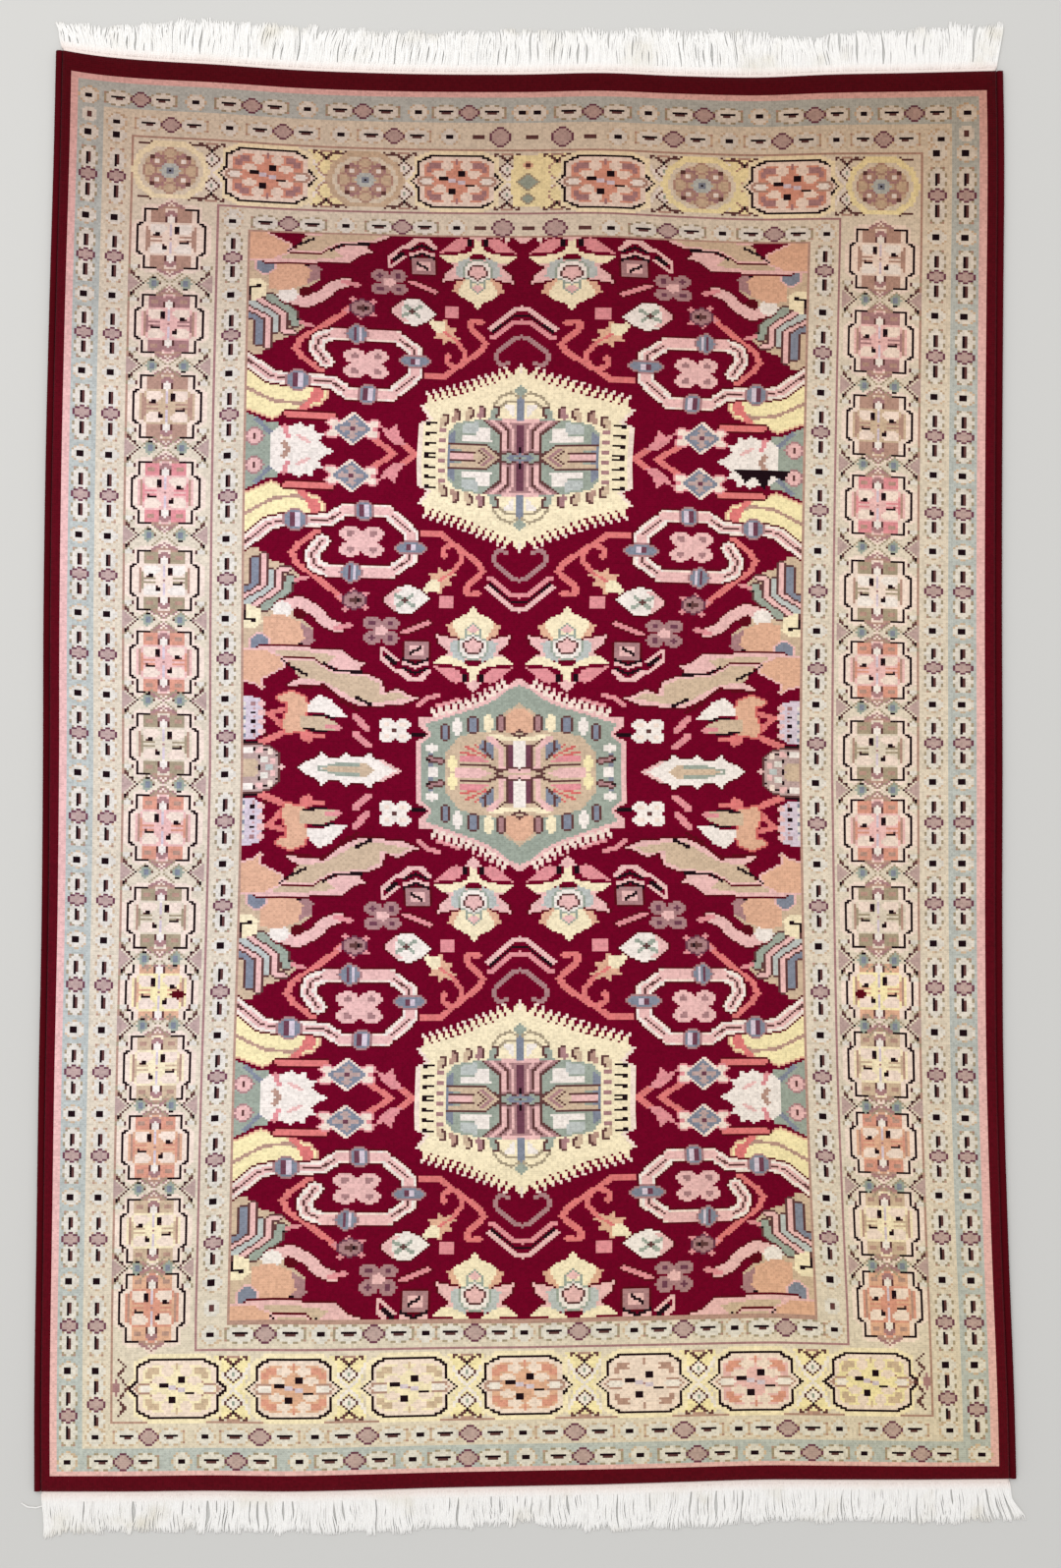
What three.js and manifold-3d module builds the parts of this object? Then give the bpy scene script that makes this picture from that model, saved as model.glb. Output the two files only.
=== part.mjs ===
// A hand-knotted wool rug with a cut pile, two overcast side edges and a fringe at each end,
// lying flat. Millimetres, +Z up: X runs across the rug, Y along it, and the origin is on the
// floor under the middle. The drawn-out corner is the one towards -X and +Y.

import * as THREE from "three";
import { mergeVertices } from "three/addons/utils/BufferGeometryUtils.js";
import Module from "manifold-3d";

// Knotted body: foundation and clipped pile together, with the pile's rim rounded over.
const bodyThickness = 9;
const pileRounding = 3;
const pileUnevenness = 0.8;
const rippleAcross = 310;
const rippleAlong = 420;
const cellsAcross = 20;
const cellsAlong = 28;

// Overcast side edges, worked round the outermost warps.
const edgeWidth = 9;
const edgeThickness = 7;

// Flat-woven web at each end, and the locks of warp yarn that leave it.
const webDepth = 14;
const webThickness = 2.6;
const lockCount = 116;
const lockRootWidth = 7.4;
const lockTipWidth = 4.4;
const lockRootThickness = 2.2;
const lockThickness = 3.4;
const lockTipThickness = 2;
const lockRootInWeb = 3;
const lockSegments = 3;
const lockWave = 2;
const lockWaveSpacing = 95;
const lockWavesPerLock = 0.9;
const lockLengthJitter = 2.2;
const lockSideJitter = 0.35;

// One warp end strays sideways from the corner towards -X and -Y.
const strayThickness = 2.4;
const strayRoute = [
  { across: -611, along: -940 },
  { across: -622, along: -943 },
  { across: -633, along: -942 },
  { across: -641, along: -937 },
];

const pieceGap = 0.3;

// Outer edges of the two overcast sides, walked from the +Y end to the -Y end.
const sides = [
  { along: 940, left: -612, right: 623 },
  { along: 800, left: -614, right: 624 },
  { along: 600, left: -618, right: 621 },
  { along: 400, left: -621, right: 618 },
  { along: 200, left: -622, right: 616 },
  { along: 0, left: -621, right: 615 },
  { along: -200, left: -621, right: 613 },
  { along: -400, left: -623, right: 613 },
  { along: -600, left: -624, right: 617 },
  { along: -800, left: -625, right: 623 },
  { along: -920, left: -624, right: 625 },
];

// Ends of the pile, walked from -X to +X.
const ends = [
  { across: -620, top: 938, bottom: -921 },
  { across: -560, top: 928, bottom: -921 },
  { across: -500, top: 922, bottom: -921 },
  { across: -400, top: 916, bottom: -920 },
  { across: -300, top: 909, bottom: -921 },
  { across: -200, top: 905, bottom: -919 },
  { across: -100, top: 903, bottom: -916 },
  { across: 0, top: 903, bottom: -914 },
  { across: 100, top: 905, bottom: -912 },
  { across: 200, top: 901, bottom: -909 },
  { across: 300, top: 899, bottom: -906 },
  { across: 400, top: 903, bottom: -906 },
  { across: 500, top: 905, bottom: -906 },
  { across: 620, top: 908, bottom: -905 },
];

// How far the locks reach beyond the pile at each end, web included.
const reach = [
  { across: -610, top: 42, bottom: 62 },
  { across: -540, top: 46, bottom: 56 },
  { across: -470, top: 58, bottom: 56 },
  { across: -400, top: 63, bottom: 56 },
  { across: -300, top: 63, bottom: 57 },
  { across: -200, top: 61, bottom: 58 },
  { across: -100, top: 61, bottom: 56 },
  { across: 0, top: 63, bottom: 54 },
  { across: 60, top: 61, bottom: 60 },
  { across: 140, top: 64, bottom: 62 },
  { across: 250, top: 65, bottom: 63 },
  { across: 300, top: 65, bottom: 58 },
  { across: 360, top: 56, bottom: 58 },
  { across: 430, top: 61, bottom: 56 },
  { across: 500, top: 62, bottom: 60 },
  { across: 560, top: 67, bottom: 58 },
  { across: 610, top: 66, bottom: 58 },
];

// How far the tip of a lock leans towards +X.
const lean = [
  { across: -610, top: -11, bottom: 3 },
  { across: -540, top: -4, bottom: 0 },
  { across: -420, top: 3, bottom: -2 },
  { across: -304, top: 5, bottom: 0 },
  { across: -298, top: 9, bottom: 0 },
  { across: -200, top: 8, bottom: 2 },
  { across: -60, top: 4, bottom: -2 },
  { across: 80, top: 0, bottom: 2 },
  { across: 180, top: -3, bottom: -3 },
  { across: 274, top: -8, bottom: -3 },
  { across: 282, top: -3, bottom: 2 },
  { across: 400, top: -6, bottom: 0 },
  { across: 480, top: 0, bottom: -2 },
  { across: 560, top: 4, bottom: 5 },
  { across: 610, top: 10, bottom: 15 },
];

// Reads a column of one of the tables above, with smooth turns between its rows.
function read(table, key, column, at) {
  const step = Math.sign(table[1][key] - table[0][key]);
  let row = 0;
  while (row < table.length - 2 && (at - table[row + 1][key]) * step > 0) {
    row += 1;
  }
  const from = table[row];
  const to = table[row + 1];
  const t = THREE.MathUtils.clamp((at - from[key]) / (to[key] - from[key]), 0, 1);
  const before = table[Math.max(row - 1, 0)];
  const after = table[Math.min(row + 2, table.length - 1)];
  const span = to[key] - from[key];
  const slopeIn = ((to[column] - before[column]) / (to[key] - before[key])) * span;
  const slopeOut = ((after[column] - from[column]) / (after[key] - from[key])) * span;
  const rise = to[column] - from[column];
  return from[column] + t * (slopeIn + t * (3 * rise - 2 * slopeIn - slopeOut
    + t * (slopeIn + slopeOut - 2 * rise)));
}

// A seeded stream of numbers from -1 to 1, so that the locks are uneven in the same way each time.
function unevenStream(seed) {
  let state = seed;
  return () => {
    state = (Math.imul(state, 1664525) + 1013904223) >>> 0;
    return state / 2 ** 31 - 1;
  };
}

// Point of the body's plan: u runs from 0 at the left edge to 1 at the right one, and v from 0 at the
// top to 1 at the bottom. The sides follow their table and leave room for the overcast edges.
function bodyPoint(u, v) {
  const first = ends[0];
  const last = ends[ends.length - 1];
  const leftAlong = THREE.MathUtils.lerp(first.top, first.bottom, v);
  const rightAlong = THREE.MathUtils.lerp(last.top, last.bottom, v);
  const left = read(sides, "along", "left", leftAlong) + edgeWidth + pieceGap;
  const right = read(sides, "along", "right", rightAlong) - edgeWidth - pieceGap;
  const across = THREE.MathUtils.lerp(left, right, u);
  const top = read(ends, "across", "top", across);
  const bottom = read(ends, "across", "bottom", across);
  return { across, along: THREE.MathUtils.lerp(top, bottom, v) };
}

// A closed solid through rings of points that all have the same number of points.
function loft(rings) {
  const around = rings[0].length;
  const positions = rings.flat().flatMap((point) => [point.x, point.y, point.z]);
  const faces = [];
  for (let ring = 0; ring < rings.length - 1; ring += 1) {
    for (let k = 0; k < around; k += 1) {
      const a = ring * around + k;
      const b = ring * around + ((k + 1) % around);
      faces.push(a, b, b + around, a, b + around, a + around);
    }
  }
  const lastRing = (rings.length - 1) * around;
  for (let k = 1; k < around - 1; k += 1) {
    faces.push(0, k + 1, k);
    faces.push(lastRing, lastRing + k, lastRing + k + 1);
  }
  return outward(positions, faces);
}

// Turns the faces over where they point into the solid.
function outward(positions, faces) {
  const point = (index) => new THREE.Vector3().fromArray(positions, index * 3);
  let volume = 0;
  for (let k = 0; k < faces.length; k += 3) {
    volume += point(faces[k]).dot(point(faces[k + 1]).cross(point(faces[k + 2])));
  }
  if (volume < 0) {
    for (let k = 0; k < faces.length; k += 3) {
      [faces[k + 1], faces[k + 2]] = [faces[k + 2], faces[k + 1]];
    }
  }
  const geometry = new THREE.BufferGeometry();
  geometry.setAttribute("position", new THREE.Float32BufferAttribute(positions, 3));
  geometry.setIndex(faces);
  return geometry;
}

// The knotted body: a flat underside, an upright rim, a rounded shoulder and an almost level pile.
function knottedBody() {
  const positions = [];
  const faces = [];
  const addPoint = (across, along, height) => {
    positions.push(across, along, height);
    return positions.length / 3 - 1;
  };
  const share = (index, cells, length, inset) => {
    const edge = inset / length;
    return edge + (index / cells) * (1 - 2 * edge);
  };
  const bodyWidth = sides[0].right - sides[0].left;
  const bodyLength = ends[0].top - ends[0].bottom;
  const sheet = (inset, heightAt) => {
    const rows = [];
    for (let j = 0; j <= cellsAlong; j += 1) {
      const row = [];
      for (let i = 0; i <= cellsAcross; i += 1) {
        const u = share(i, cellsAcross, bodyWidth, inset);
        const v = share(j, cellsAlong, bodyLength, inset);
        const { across, along } = bodyPoint(u, v);
        row.push(addPoint(across, along, heightAt(across, along)));
      }
      rows.push(row);
    }
    for (let j = 0; j < cellsAlong; j += 1) {
      for (let i = 0; i < cellsAcross; i += 1) {
        const a = rows[j][i];
        const b = rows[j][i + 1];
        const c = rows[j + 1][i + 1];
        const d = rows[j + 1][i];
        faces.push(...(inset > 0 ? [a, d, c, a, c, b] : [a, b, c, a, c, d]));
      }
    }
    return rimOf(rows);
  };
  const pileTop = (across, along) => bodyThickness - pileUnevenness
    * (0.5 + 0.5 * Math.sin(across / rippleAcross * 2 * Math.PI)
      * Math.cos(along / rippleAlong * 2 * Math.PI));
  const under = sheet(0, () => 0);
  const crown = sheet(pileRounding, pileTop);
  const shoulder = under.map((index) => {
    const across = positions[index * 3];
    const along = positions[index * 3 + 1];
    return addPoint(across, along, bodyThickness - pileRounding);
  });
  const joinRims = (lower, upper) => {
    for (let k = 0; k < lower.length; k += 1) {
      const next = (k + 1) % lower.length;
      faces.push(lower[k], upper[next], lower[next], lower[k], upper[k], upper[next]);
    }
  };
  joinRims(under, shoulder);
  joinRims(shoulder, crown);
  return outward(positions, faces);
}

// The outermost points of a grid, in order round it.
function rimOf(rows) {
  const lastRow = rows.length - 1;
  const lastColumn = rows[0].length - 1;
  const rim = [...rows[0]];
  for (let j = 1; j <= lastRow; j += 1) {
    rim.push(rows[j][lastColumn]);
  }
  for (let i = lastColumn - 1; i >= 0; i -= 1) {
    rim.push(rows[lastRow][i]);
  }
  for (let j = lastRow - 1; j >= 1; j -= 1) {
    rim.push(rows[j][0]);
  }
  return rim;
}

// One overcast edge: a rounded cord with a flat underside, which keeps to the body from end to end.
function overcastEdge(u, outwardSign) {
  const section = [
    { out: 0, up: 0.25 },
    { out: 0, up: 0.75 },
    { out: 0.2, up: 1 },
    { out: 0.65, up: 1 },
    { out: 1, up: 0.7 },
    { out: 1, up: 0.3 },
    { out: 0.7, up: 0 },
    { out: 0.15, up: 0 },
  ];
  const rings = [];
  for (let j = 0; j <= cellsAlong; j += 1) {
    const { across, along } = bodyPoint(u, j / cellsAlong);
    const inner = across + outwardSign * pieceGap;
    rings.push(section.map(({ out, up }) => new THREE.Vector3(
      inner + outwardSign * out * edgeWidth, along, up * edgeThickness)));
  }
  return loft(rings);
}

// A geometry as a solid that can be joined to others.
function solidOf(wasm, geometry) {
  const plain = mergeVertices(geometry);
  return new wasm.Manifold(new wasm.Mesh({
    numProp: 3,
    vertProperties: new Float32Array(plain.attributes.position.array),
    triVerts: new Uint32Array(plain.index.array),
  }));
}

// A joined solid as a geometry.
function geometryOf(solid) {
  const mesh = solid.getMesh();
  const geometry = new THREE.BufferGeometry();
  geometry.setAttribute("position", new THREE.BufferAttribute(mesh.vertProperties, 3));
  geometry.setIndex(new THREE.BufferAttribute(mesh.triVerts, 1));
  return geometry;
}

// The web at one end, from just outside the pile to the roots of the locks.
function web(v, outwardSign) {
  const rings = [];
  for (let i = 0; i <= cellsAcross; i += 1) {
    const { across, along } = bodyPoint(i / cellsAcross, v);
    const near = along + outwardSign * pieceGap;
    const far = along + outwardSign * webDepth;
    rings.push([
      new THREE.Vector3(across, near, 0),
      new THREE.Vector3(across, far, 0),
      new THREE.Vector3(across, far, webThickness),
      new THREE.Vector3(across, near, webThickness),
    ]);
  }
  return loft(rings);
}

// A three-sided lock or thread that lies on the floor: each point of its route has the place, width
// and thickness of one section.
function strand(route) {
  const rings = route.map((point, k) => {
    const before = route[Math.max(k - 1, 0)];
    const after = route[Math.min(k + 1, route.length - 1)];
    const heading = Math.atan2(after.along - before.along, after.across - before.across);
    const sideX = -Math.sin(heading) * point.width / 2;
    const sideY = Math.cos(heading) * point.width / 2;
    return [
      new THREE.Vector3(point.across - sideX, point.along - sideY, 0),
      new THREE.Vector3(point.across + sideX, point.along + sideY, 0),
      new THREE.Vector3(point.across, point.along, point.thickness),
    ];
  });
  return loft(rings);
}

// The fringe at one end: the web with every lock fused to it by its root.
function fringe(wasm, column, seed) {
  const v = column === "top" ? 0 : 1;
  const outwardSign = column === "top" ? 1 : -1;
  const from = bodyPoint(0, v).across;
  const to = bodyPoint(1, v).across;
  const uneven = unevenStream(seed);
  const pieces = [solidOf(wasm, web(v, outwardSign))];
  const pitch = (to - from) / lockCount;
  for (let k = 0; k < lockCount; k += 1) {
    const across = from + (k + 0.5) * pitch + uneven() * lockSideJitter;
    const pileEnd = read(ends, "across", column, across);
    const tip = read(reach, "across", column, across) + uneven() * lockLengthJitter;
    const tipLean = read(lean, "across", column, across);
    const route = [];
    for (let step = 0; step <= lockSegments; step += 1) {
      const t = step / lockSegments;
      const out = THREE.MathUtils.lerp(webDepth - lockRootInWeb, tip, t);
      const wave = lockWave * t
        * Math.sin(2 * Math.PI * (across / lockWaveSpacing + lockWavesPerLock * t));
      route.push({
        across: across + tipLean * t + wave,
        along: pileEnd + outwardSign * out,
        width: THREE.MathUtils.lerp(lockRootWidth, lockTipWidth, t),
        thickness: step === 0 ? lockRootThickness
          : THREE.MathUtils.lerp(lockThickness, lockTipThickness, t),
      });
    }
    pieces.push(solidOf(wasm, strand(route)));
  }
  if (column === "bottom") {
    const route = strayRoute.map((point) => ({
      ...point, width: strayThickness, thickness: strayThickness,
    }));
    pieces.push(solidOf(wasm, strand(route)));
  }
  return geometryOf(pieces.reduce((joined, piece) => joined.add(piece)));
}

function piece(name, geometry, colour, roughness) {
  const material = new THREE.MeshStandardMaterial({ color: colour, roughness, metalness: 0 });
  const mesh = new THREE.Mesh(geometry, material);
  mesh.name = name;
  return mesh;
}

const pileCrimson = 0x70102a;
const edgeRed = 0x5a0a12;
const cottonWhite = 0xf3efe2;
const woolRoughness = 0.9;
const cottonRoughness = 0.95;
const topSeed = 11;
const bottomSeed = 29;

const wasm = await Module();
wasm.setup();

const rug = new THREE.Group();
rug.add(piece("rug_body", knottedBody(), pileCrimson, woolRoughness));
rug.add(piece("overcast_edge_left", overcastEdge(0, -1), edgeRed, woolRoughness));
rug.add(piece("overcast_edge_right", overcastEdge(1, 1), edgeRed, woolRoughness));
rug.add(piece("fringe_top", fringe(wasm, "top", topSeed), cottonWhite, cottonRoughness));
rug.add(piece("fringe_bottom", fringe(wasm, "bottom", bottomSeed), cottonWhite,
  cottonRoughness));

export default rug;
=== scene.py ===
# A hand-knotted Caucasian rug with a cut wool pile, two overcast side edges and a cotton fringe at each
# end, lying flat on a pale floor. Metres, +Z up: X runs across the rug and Y along it.

import math
import bpy
import numpy as np
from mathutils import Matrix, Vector


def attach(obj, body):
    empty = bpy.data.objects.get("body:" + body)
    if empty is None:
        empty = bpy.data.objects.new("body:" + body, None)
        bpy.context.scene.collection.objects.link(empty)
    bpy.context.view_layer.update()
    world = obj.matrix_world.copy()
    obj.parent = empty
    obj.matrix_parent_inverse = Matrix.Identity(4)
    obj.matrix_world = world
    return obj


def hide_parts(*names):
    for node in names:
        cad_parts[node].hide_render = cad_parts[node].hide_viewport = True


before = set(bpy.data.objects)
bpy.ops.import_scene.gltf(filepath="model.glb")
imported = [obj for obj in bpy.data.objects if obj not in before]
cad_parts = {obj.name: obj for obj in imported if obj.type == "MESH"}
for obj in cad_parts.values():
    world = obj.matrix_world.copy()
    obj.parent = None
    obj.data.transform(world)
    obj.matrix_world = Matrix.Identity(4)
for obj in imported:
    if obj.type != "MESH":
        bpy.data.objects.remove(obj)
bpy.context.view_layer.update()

# The camera stands almost straight above the rug, a little towards its near end.
camera_distance = 2.5
camera_elevation = math.radians(88)
camera_aim = Vector((0.007, -0.022, 0.009))
focal_pixels = 1981
picture_rows = 1596
sensor_height = 24

camera_data = bpy.data.cameras.new("camera")
camera_data.sensor_fit = "VERTICAL"
camera_data.sensor_height = sensor_height
camera_data.lens = sensor_height * focal_pixels / picture_rows
camera = bpy.data.objects.new("camera", camera_data)
camera_way = Vector((0, -math.cos(camera_elevation), math.sin(camera_elevation)))
camera.location = camera_aim + camera_way * camera_distance
camera.rotation_euler = (math.pi / 2 - camera_elevation, 0, 0)
bpy.context.scene.collection.objects.link(camera)
bpy.context.scene.camera = camera
bpy.context.scene.view_settings.view_transform = "Standard"

# The rug's body is wool, knotted by hand over cotton warps row by row and clipped to a short pile. Its
# pattern is drawn here as a weaver's chart is: on squared paper, with one square for each knot.

# The dyed wools, as sRGB colours. A knot holds the number of its wool in this list.
wools = {
    "crimson": (112, 0, 36),
    "wine": (92, 8, 24),
    "black": (30, 12, 20),
    "umber": (98, 62, 62),
    "plum": (112, 66, 84),
    "mauve": (172, 130, 134),
    "orchid": (196, 156, 160),
    "tan": (184, 148, 136),
    "sand": (208, 184, 160),
    "khaki": (170, 156, 134),
    "ivory": (226, 214, 198),
    "cream": (248, 234, 202),
    "white": (244, 235, 231),
    "pearl": (228, 222, 216),
    "mist": (190, 196, 196),
    "sage": (158, 168, 158),
    "slate": (132, 138, 156),
    "lilac": (216, 202, 218),
    "shell": (244, 224, 214),
    "ash": (190, 164, 162),
    "blush": (236, 190, 190),
    "rose": (226, 148, 156),
    "coral": (212, 106, 104),
    "vine": (224, 124, 124),
    "salmon": (220, 156, 138),
    "peach": (226, 178, 152),
    "straw": (248, 234, 186),
}
wool_number = {name: number for number, name in enumerate(wools)}
bare = 255


class Chart:
    """A stretch of the pattern on squared paper. Each square is one knot, and places are in knots."""

    def __init__(self, left, right, top, bottom, ground=None):
        self.left, self.top = left, top
        self.across, self.down = np.meshgrid(np.arange(left, right + 1.0), np.arange(top, bottom + 1.0))
        self.knots = np.full(self.across.shape, wool_number[ground] if ground else bare, np.uint8)

    def paint(self, wool, where, rim=None):
        if rim:
            grown = where.copy()
            grown[1:] |= where[:-1]
            grown[:-1] |= where[1:]
            grown[:, 1:] |= where[:, :-1]
            grown[:, :-1] |= where[:, 1:]
            self.knots[grown & ~where] = wool_number[rim]
        self.knots[where] = wool_number[wool]

    def fill(self, wool, corners, rim=None):
        """Fills the outline through these corners."""
        where = np.zeros(self.across.shape, bool)
        for (x0, y0), (x1, y1) in zip(corners, corners[1:] + corners[:1]):
            if y0 != y1:
                crossed = (y0 > self.down) != (y1 > self.down)
                where ^= crossed & (self.across < x0 + (self.down - y0) * (x1 - x0) / (y1 - y0))
        self.paint(wool, where, rim)

    def stroke(self, wool, width, *routes, rim=None):
        """Draws a band of this width along each route of points."""
        where = np.zeros(self.across.shape, bool)
        for route in routes:
            for (x0, y0), (x1, y1) in zip(route, route[1:]):
                run = (x1 - x0) ** 2 + (y1 - y0) ** 2
                share = ((self.across - x0) * (x1 - x0) + (self.down - y0) * (y1 - y0)) / run
                share = np.clip(share, 0, 1)
                away = np.hypot(self.across - x0 - share * (x1 - x0), self.down - y0 - share * (y1 - y0))
                where |= away <= width / 2
        self.paint(wool, where, rim)

    def dot(self, wool, at, half, rim=None):
        away = np.hypot((self.across - at[0]) / half[0], (self.down - at[1]) / half[1])
        self.paint(wool, away <= 1, rim)

    def gem(self, wool, at, half, rim=None):
        away = np.abs(self.across - at[0]) / half[0] + np.abs(self.down - at[1]) / half[1]
        self.paint(wool, away <= 1, rim)

    def bar(self, wool, at, half, rim=None):
        where = (np.abs(self.across - at[0]) <= half[0]) & (np.abs(self.down - at[1]) <= half[1])
        self.paint(wool, where, rim)

    def place(self, other, at, mirrored=False):
        """Copies another chart onto this one, with its origin at a place of this one."""
        knots = other.knots[:, ::-1] if mirrored else other.knots
        left = -(other.left + knots.shape[1] - 1) if mirrored else other.left
        column = int(round(at[0] + left - self.left))
        row = int(round(at[1] + other.top - self.top))
        rows, columns = self.knots.shape
        first_row, first_column = max(0, -row), max(0, -column)
        last_row = min(knots.shape[0], rows - row)
        last_column = min(knots.shape[1], columns - column)
        part = knots[first_row:last_row, first_column:last_column]
        target = self.knots[row + first_row:row + last_row, column + first_column:column + last_column]
        target[part != bare] = part[part != bare]


# The field's quarter. Places count from the middle line outwards and from a cream medallion's middle
# down to the next medallion's. The other quarters mirror it. Five brushes draw on it.
reach_across = 116
half_repeat = 158
quarter = Chart(0, reach_across, 0, half_repeat, "crimson")
fill, stroke, dot, gem, bar = quarter.fill, quarter.stroke, quarter.dot, quarter.gem, quarter.bar
four_ways = [(-1, -1), (-1, 1), (1, -1), (1, 1)]


def serrated(chart, wool, tip_wool, slope, pitch, lean):
    """Sets a row of slanting, tapering teeth along an outline's slope."""
    points = np.array(slope, float)
    lengths = np.hypot(*np.diff(points, axis=0).T)
    stations = np.concatenate([[0], np.cumsum(lengths)])
    for tooth in np.arange(pitch / 2, stations[-1], pitch):
        x = np.interp(tooth, stations, points[:, 0])
        y = np.interp(tooth, stations, points[:, 1])
        chart.stroke(tip_wool, 1.3, [(x, y), (x + lean[0], y + lean[1])])
        chart.stroke(wool, 2.1, [(x, y), (x + lean[0] * 0.55, y + lean[1] * 0.55)])


def cream_medallion():
    edge = [(42.5, -1), (42.5, 15), (38.5, 17.5), (42.5, 24), (40, 26.5)]
    slope = [(40, 25.5), (29, 29.3), (20, 32.8), (10, 37.3), (3, 41.5)]
    serrated(quarter, "cream", "shell", slope, 3.1, (2.3, 4.6))
    fill("cream", edge + slope + [(1.4, 45.8), (-1, 46.5), (-1, -1)])
    stroke("shell", 1.4, [(42.5, -1), (42.5, 15), (38.5, 17.5), (42.5, 24)])
    stroke("shell", 1.6, [(0, 43), (0, 47)])
    for dash in (0, 5, 10, 15):
        fill("black", [(40.5, dash - 1), (40.5, dash + 1.4), (35.5, dash + 1.2)])
        bar("mauve", (33, dash + 2.5), (1.6, 0.9))
    fill("sage", [(31, -1), (31, 11), (27, 16.5), (14, 19), (-1, 19.5), (-1, -1)])
    fill("slate", [(31, -1), (31, 10), (27.5, 13), (27.5, -1)])
    for x, y, wool in ((33, 17.5, "sand"), (27.5, 20, "tan"), (22, 21.4, "sand"), (16.5, 22.2, "mauve"),
                       (11, 22.6, "sage")):
        stroke(wool, 2.4, [(x + 0.6, y - 2.4), (x - 0.4, y + 1.8)])
        stroke("umber", 1.1, [(x - 1.4, y - 2.4), (x - 1.8, y + 2), (x + 0.6, y + 3)])
    fill("white", [(12, 8), (15, 7), (24, 7.5), (25, 11), (19, 11), (17, 15), (12.5, 15)])
    fill("mist", [(20, 11), (25, 12), (24, 16), (17, 17.5), (18, 13)])
    fill("sand", [(8, -1), (8, 0.5), (14.5, 6.5), (19, 5.5), (30, 5.2), (30, 3.4), (19.5, 2.6), (19.5, -1)])
    stroke("umber", 1, [(8, 0.5), (14.5, 6.5), (19, 5.8), (30, 5.8)], [(18.5, 2.2), (29.5, 2.2)])
    bar("blush", (24.5, 0), (5.4, 1))
    stroke("mauve", 1.3, [(11.5, 0), (15.5, 3.8)])
    stroke("umber", 1, [(14, 0), (16.8, 2.6)])
    fill("mauve", [(-1, 1), (4, 3), (8, 3), (8.3, 12), (15, 18.5), (-1, 19.5)])
    stroke("umber", 1, [(8.3, 1.5), (8.3, 12), (15, 18)])
    stroke("blush", 1.6, [(6.4, 4), (6.4, 12.5), (11.5, 18)])
    stroke("umber", 1, [(4.6, 5), (4.6, 13), (8.5, 17.5)])
    stroke("blush", 1.2, [(3.2, 4.5), (3.2, 14), (5.5, 17.5)])
    bar("plum", (0, 9.5), (1.6, 6.5))
    bar("black", (0, 4), (0.8, 1))
    stroke("umber", 1, [(0, 0), (4, 3), (8.3, 1.5)])
    stroke("slate", 1.4, [(0, 1.5), (5, 0)])
    stroke("blush", 1.8, [(-1, 18.6), (7, 18.6)])
    bar("slate", (0, 25), (1.8, 6))
    fill("white", [(3, 20), (7, 26), (3, 27)])
    stroke("khaki", 1.3, [(1, 30.5), (4, 32.5), (8, 30.5), (11, 26.5)], [(2, 28), (6, 28), (8.5, 24.5)])
    gem("sage", (0, 33.5), (2.6, 3.4))


def grey_medallion():
    middle = half_repeat

    def up(*points):
        return [(x, middle - y) for x, y in points]

    edge = up((42.5, -1), (42.5, 15.5), (37.5, 18.5), (42, 24), (41, 27.5))
    slope = up((36, 28), (26, 31.5), (16, 35.5), (10.5, 39.5), (5, 44))
    fill("blush", edge + slope + up((1.6, 47), (0, 47.5), (-1, 47), (-1, -1)))
    serrated(quarter, "shell", "blush", slope, 3, (1.4, -3.6))
    fill("sage", up((40.5, -1), (40.5, 14.5), (36, 18.5), (39, 24), (34, 26), (25, 29.5), (15, 33.5),
         (9, 37.5), (3.5, 42.5), (-1, 44.5), (-1, -1)))
    stroke("black", 1.6, up((43.5, 18.5), (38.7, 18.5)))
    fill("sand", up((31, -1), (31, 9), (25, 18), (10, 22), (7, 30), (-1, 36), (-1, -1)))
    fill("peach", up((-1, 20), (6, 21), (7, 27), (3, 32), (-1, 32)))
    for x, y, wool in ((30.5, 20, "slate"), (19, 24, "slate"), (7.5, 25, "mauve")):
        stroke(wool, 2.6, up((x, y - 2.5), (x, y + 2.5)), rim="umber")
    for x, y, wool in ((25.5, 23, "white"), (12.7, 25, "cream")):
        dot(wool, (x, middle - y), (2, 4.4))
    stroke("slate", 2, up((36.5, 9), (36.5, 3.5)))
    dot("white", (36, middle - 12), (2.6, 2))
    dot("white", (35.5, middle - 0.5), (2.4, 2.2))
    stroke("mauve", 1.6, up((36.5, 6.5), (32.5, 5.5)), rim="umber")
    bar("black", (37.5, middle - 6.3), (0.9, 0.6))
    dot("straw", (27.5, middle - 4.5), (1.8, 4))
    stroke("coral", 1.1, up((14, 8.5), (22.5, 13.5)), up((14, 10.5), (18.5, 14.5)), up((16, 8),
           (24.5, 10.5)))
    fill("rose", up((12, 5.2), (25, 6), (25, 8), (16, 8.5)))
    stroke("umber", 1.2, up((8, 1.5), (13, 4), (24, 4.2)))
    fill("blush", up((12, 0), (16, 2.6), (27, 2.4), (27, -1), (12, -1)))
    fill("slate", up((10.5, 6), (17, 12.5), (15, 16.5), (10, 14)))
    stroke("umber", 1, up((11, 7), (14.5, 12), (14, 16)))
    fill("cream", up((-1, 18), (4, 18.5), (13, 20), (13, 17.5), (6, 16), (-1, 16)))
    stroke("blush", 2.2, up((7.3, 3.5), (7.6, 13), (12.5, 18)))
    stroke("umber", 1.1, up((5, 2.5), (5.2, 13.5), (9.5, 17.5)))
    bar("white", (0, middle - 9.5), (2.6, 7))
    stroke("plum", 1.4, up((3.6, 3), (3.6, 14)))
    stroke("blush", 1.8, up((0, 1), (6, 2.2)))
    stroke("umber", 1, up((-1, 2), (3.5, 3.2), (10, 0)), up((0, 21.5), (3, 19.8), (0, 18.5)))


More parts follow.
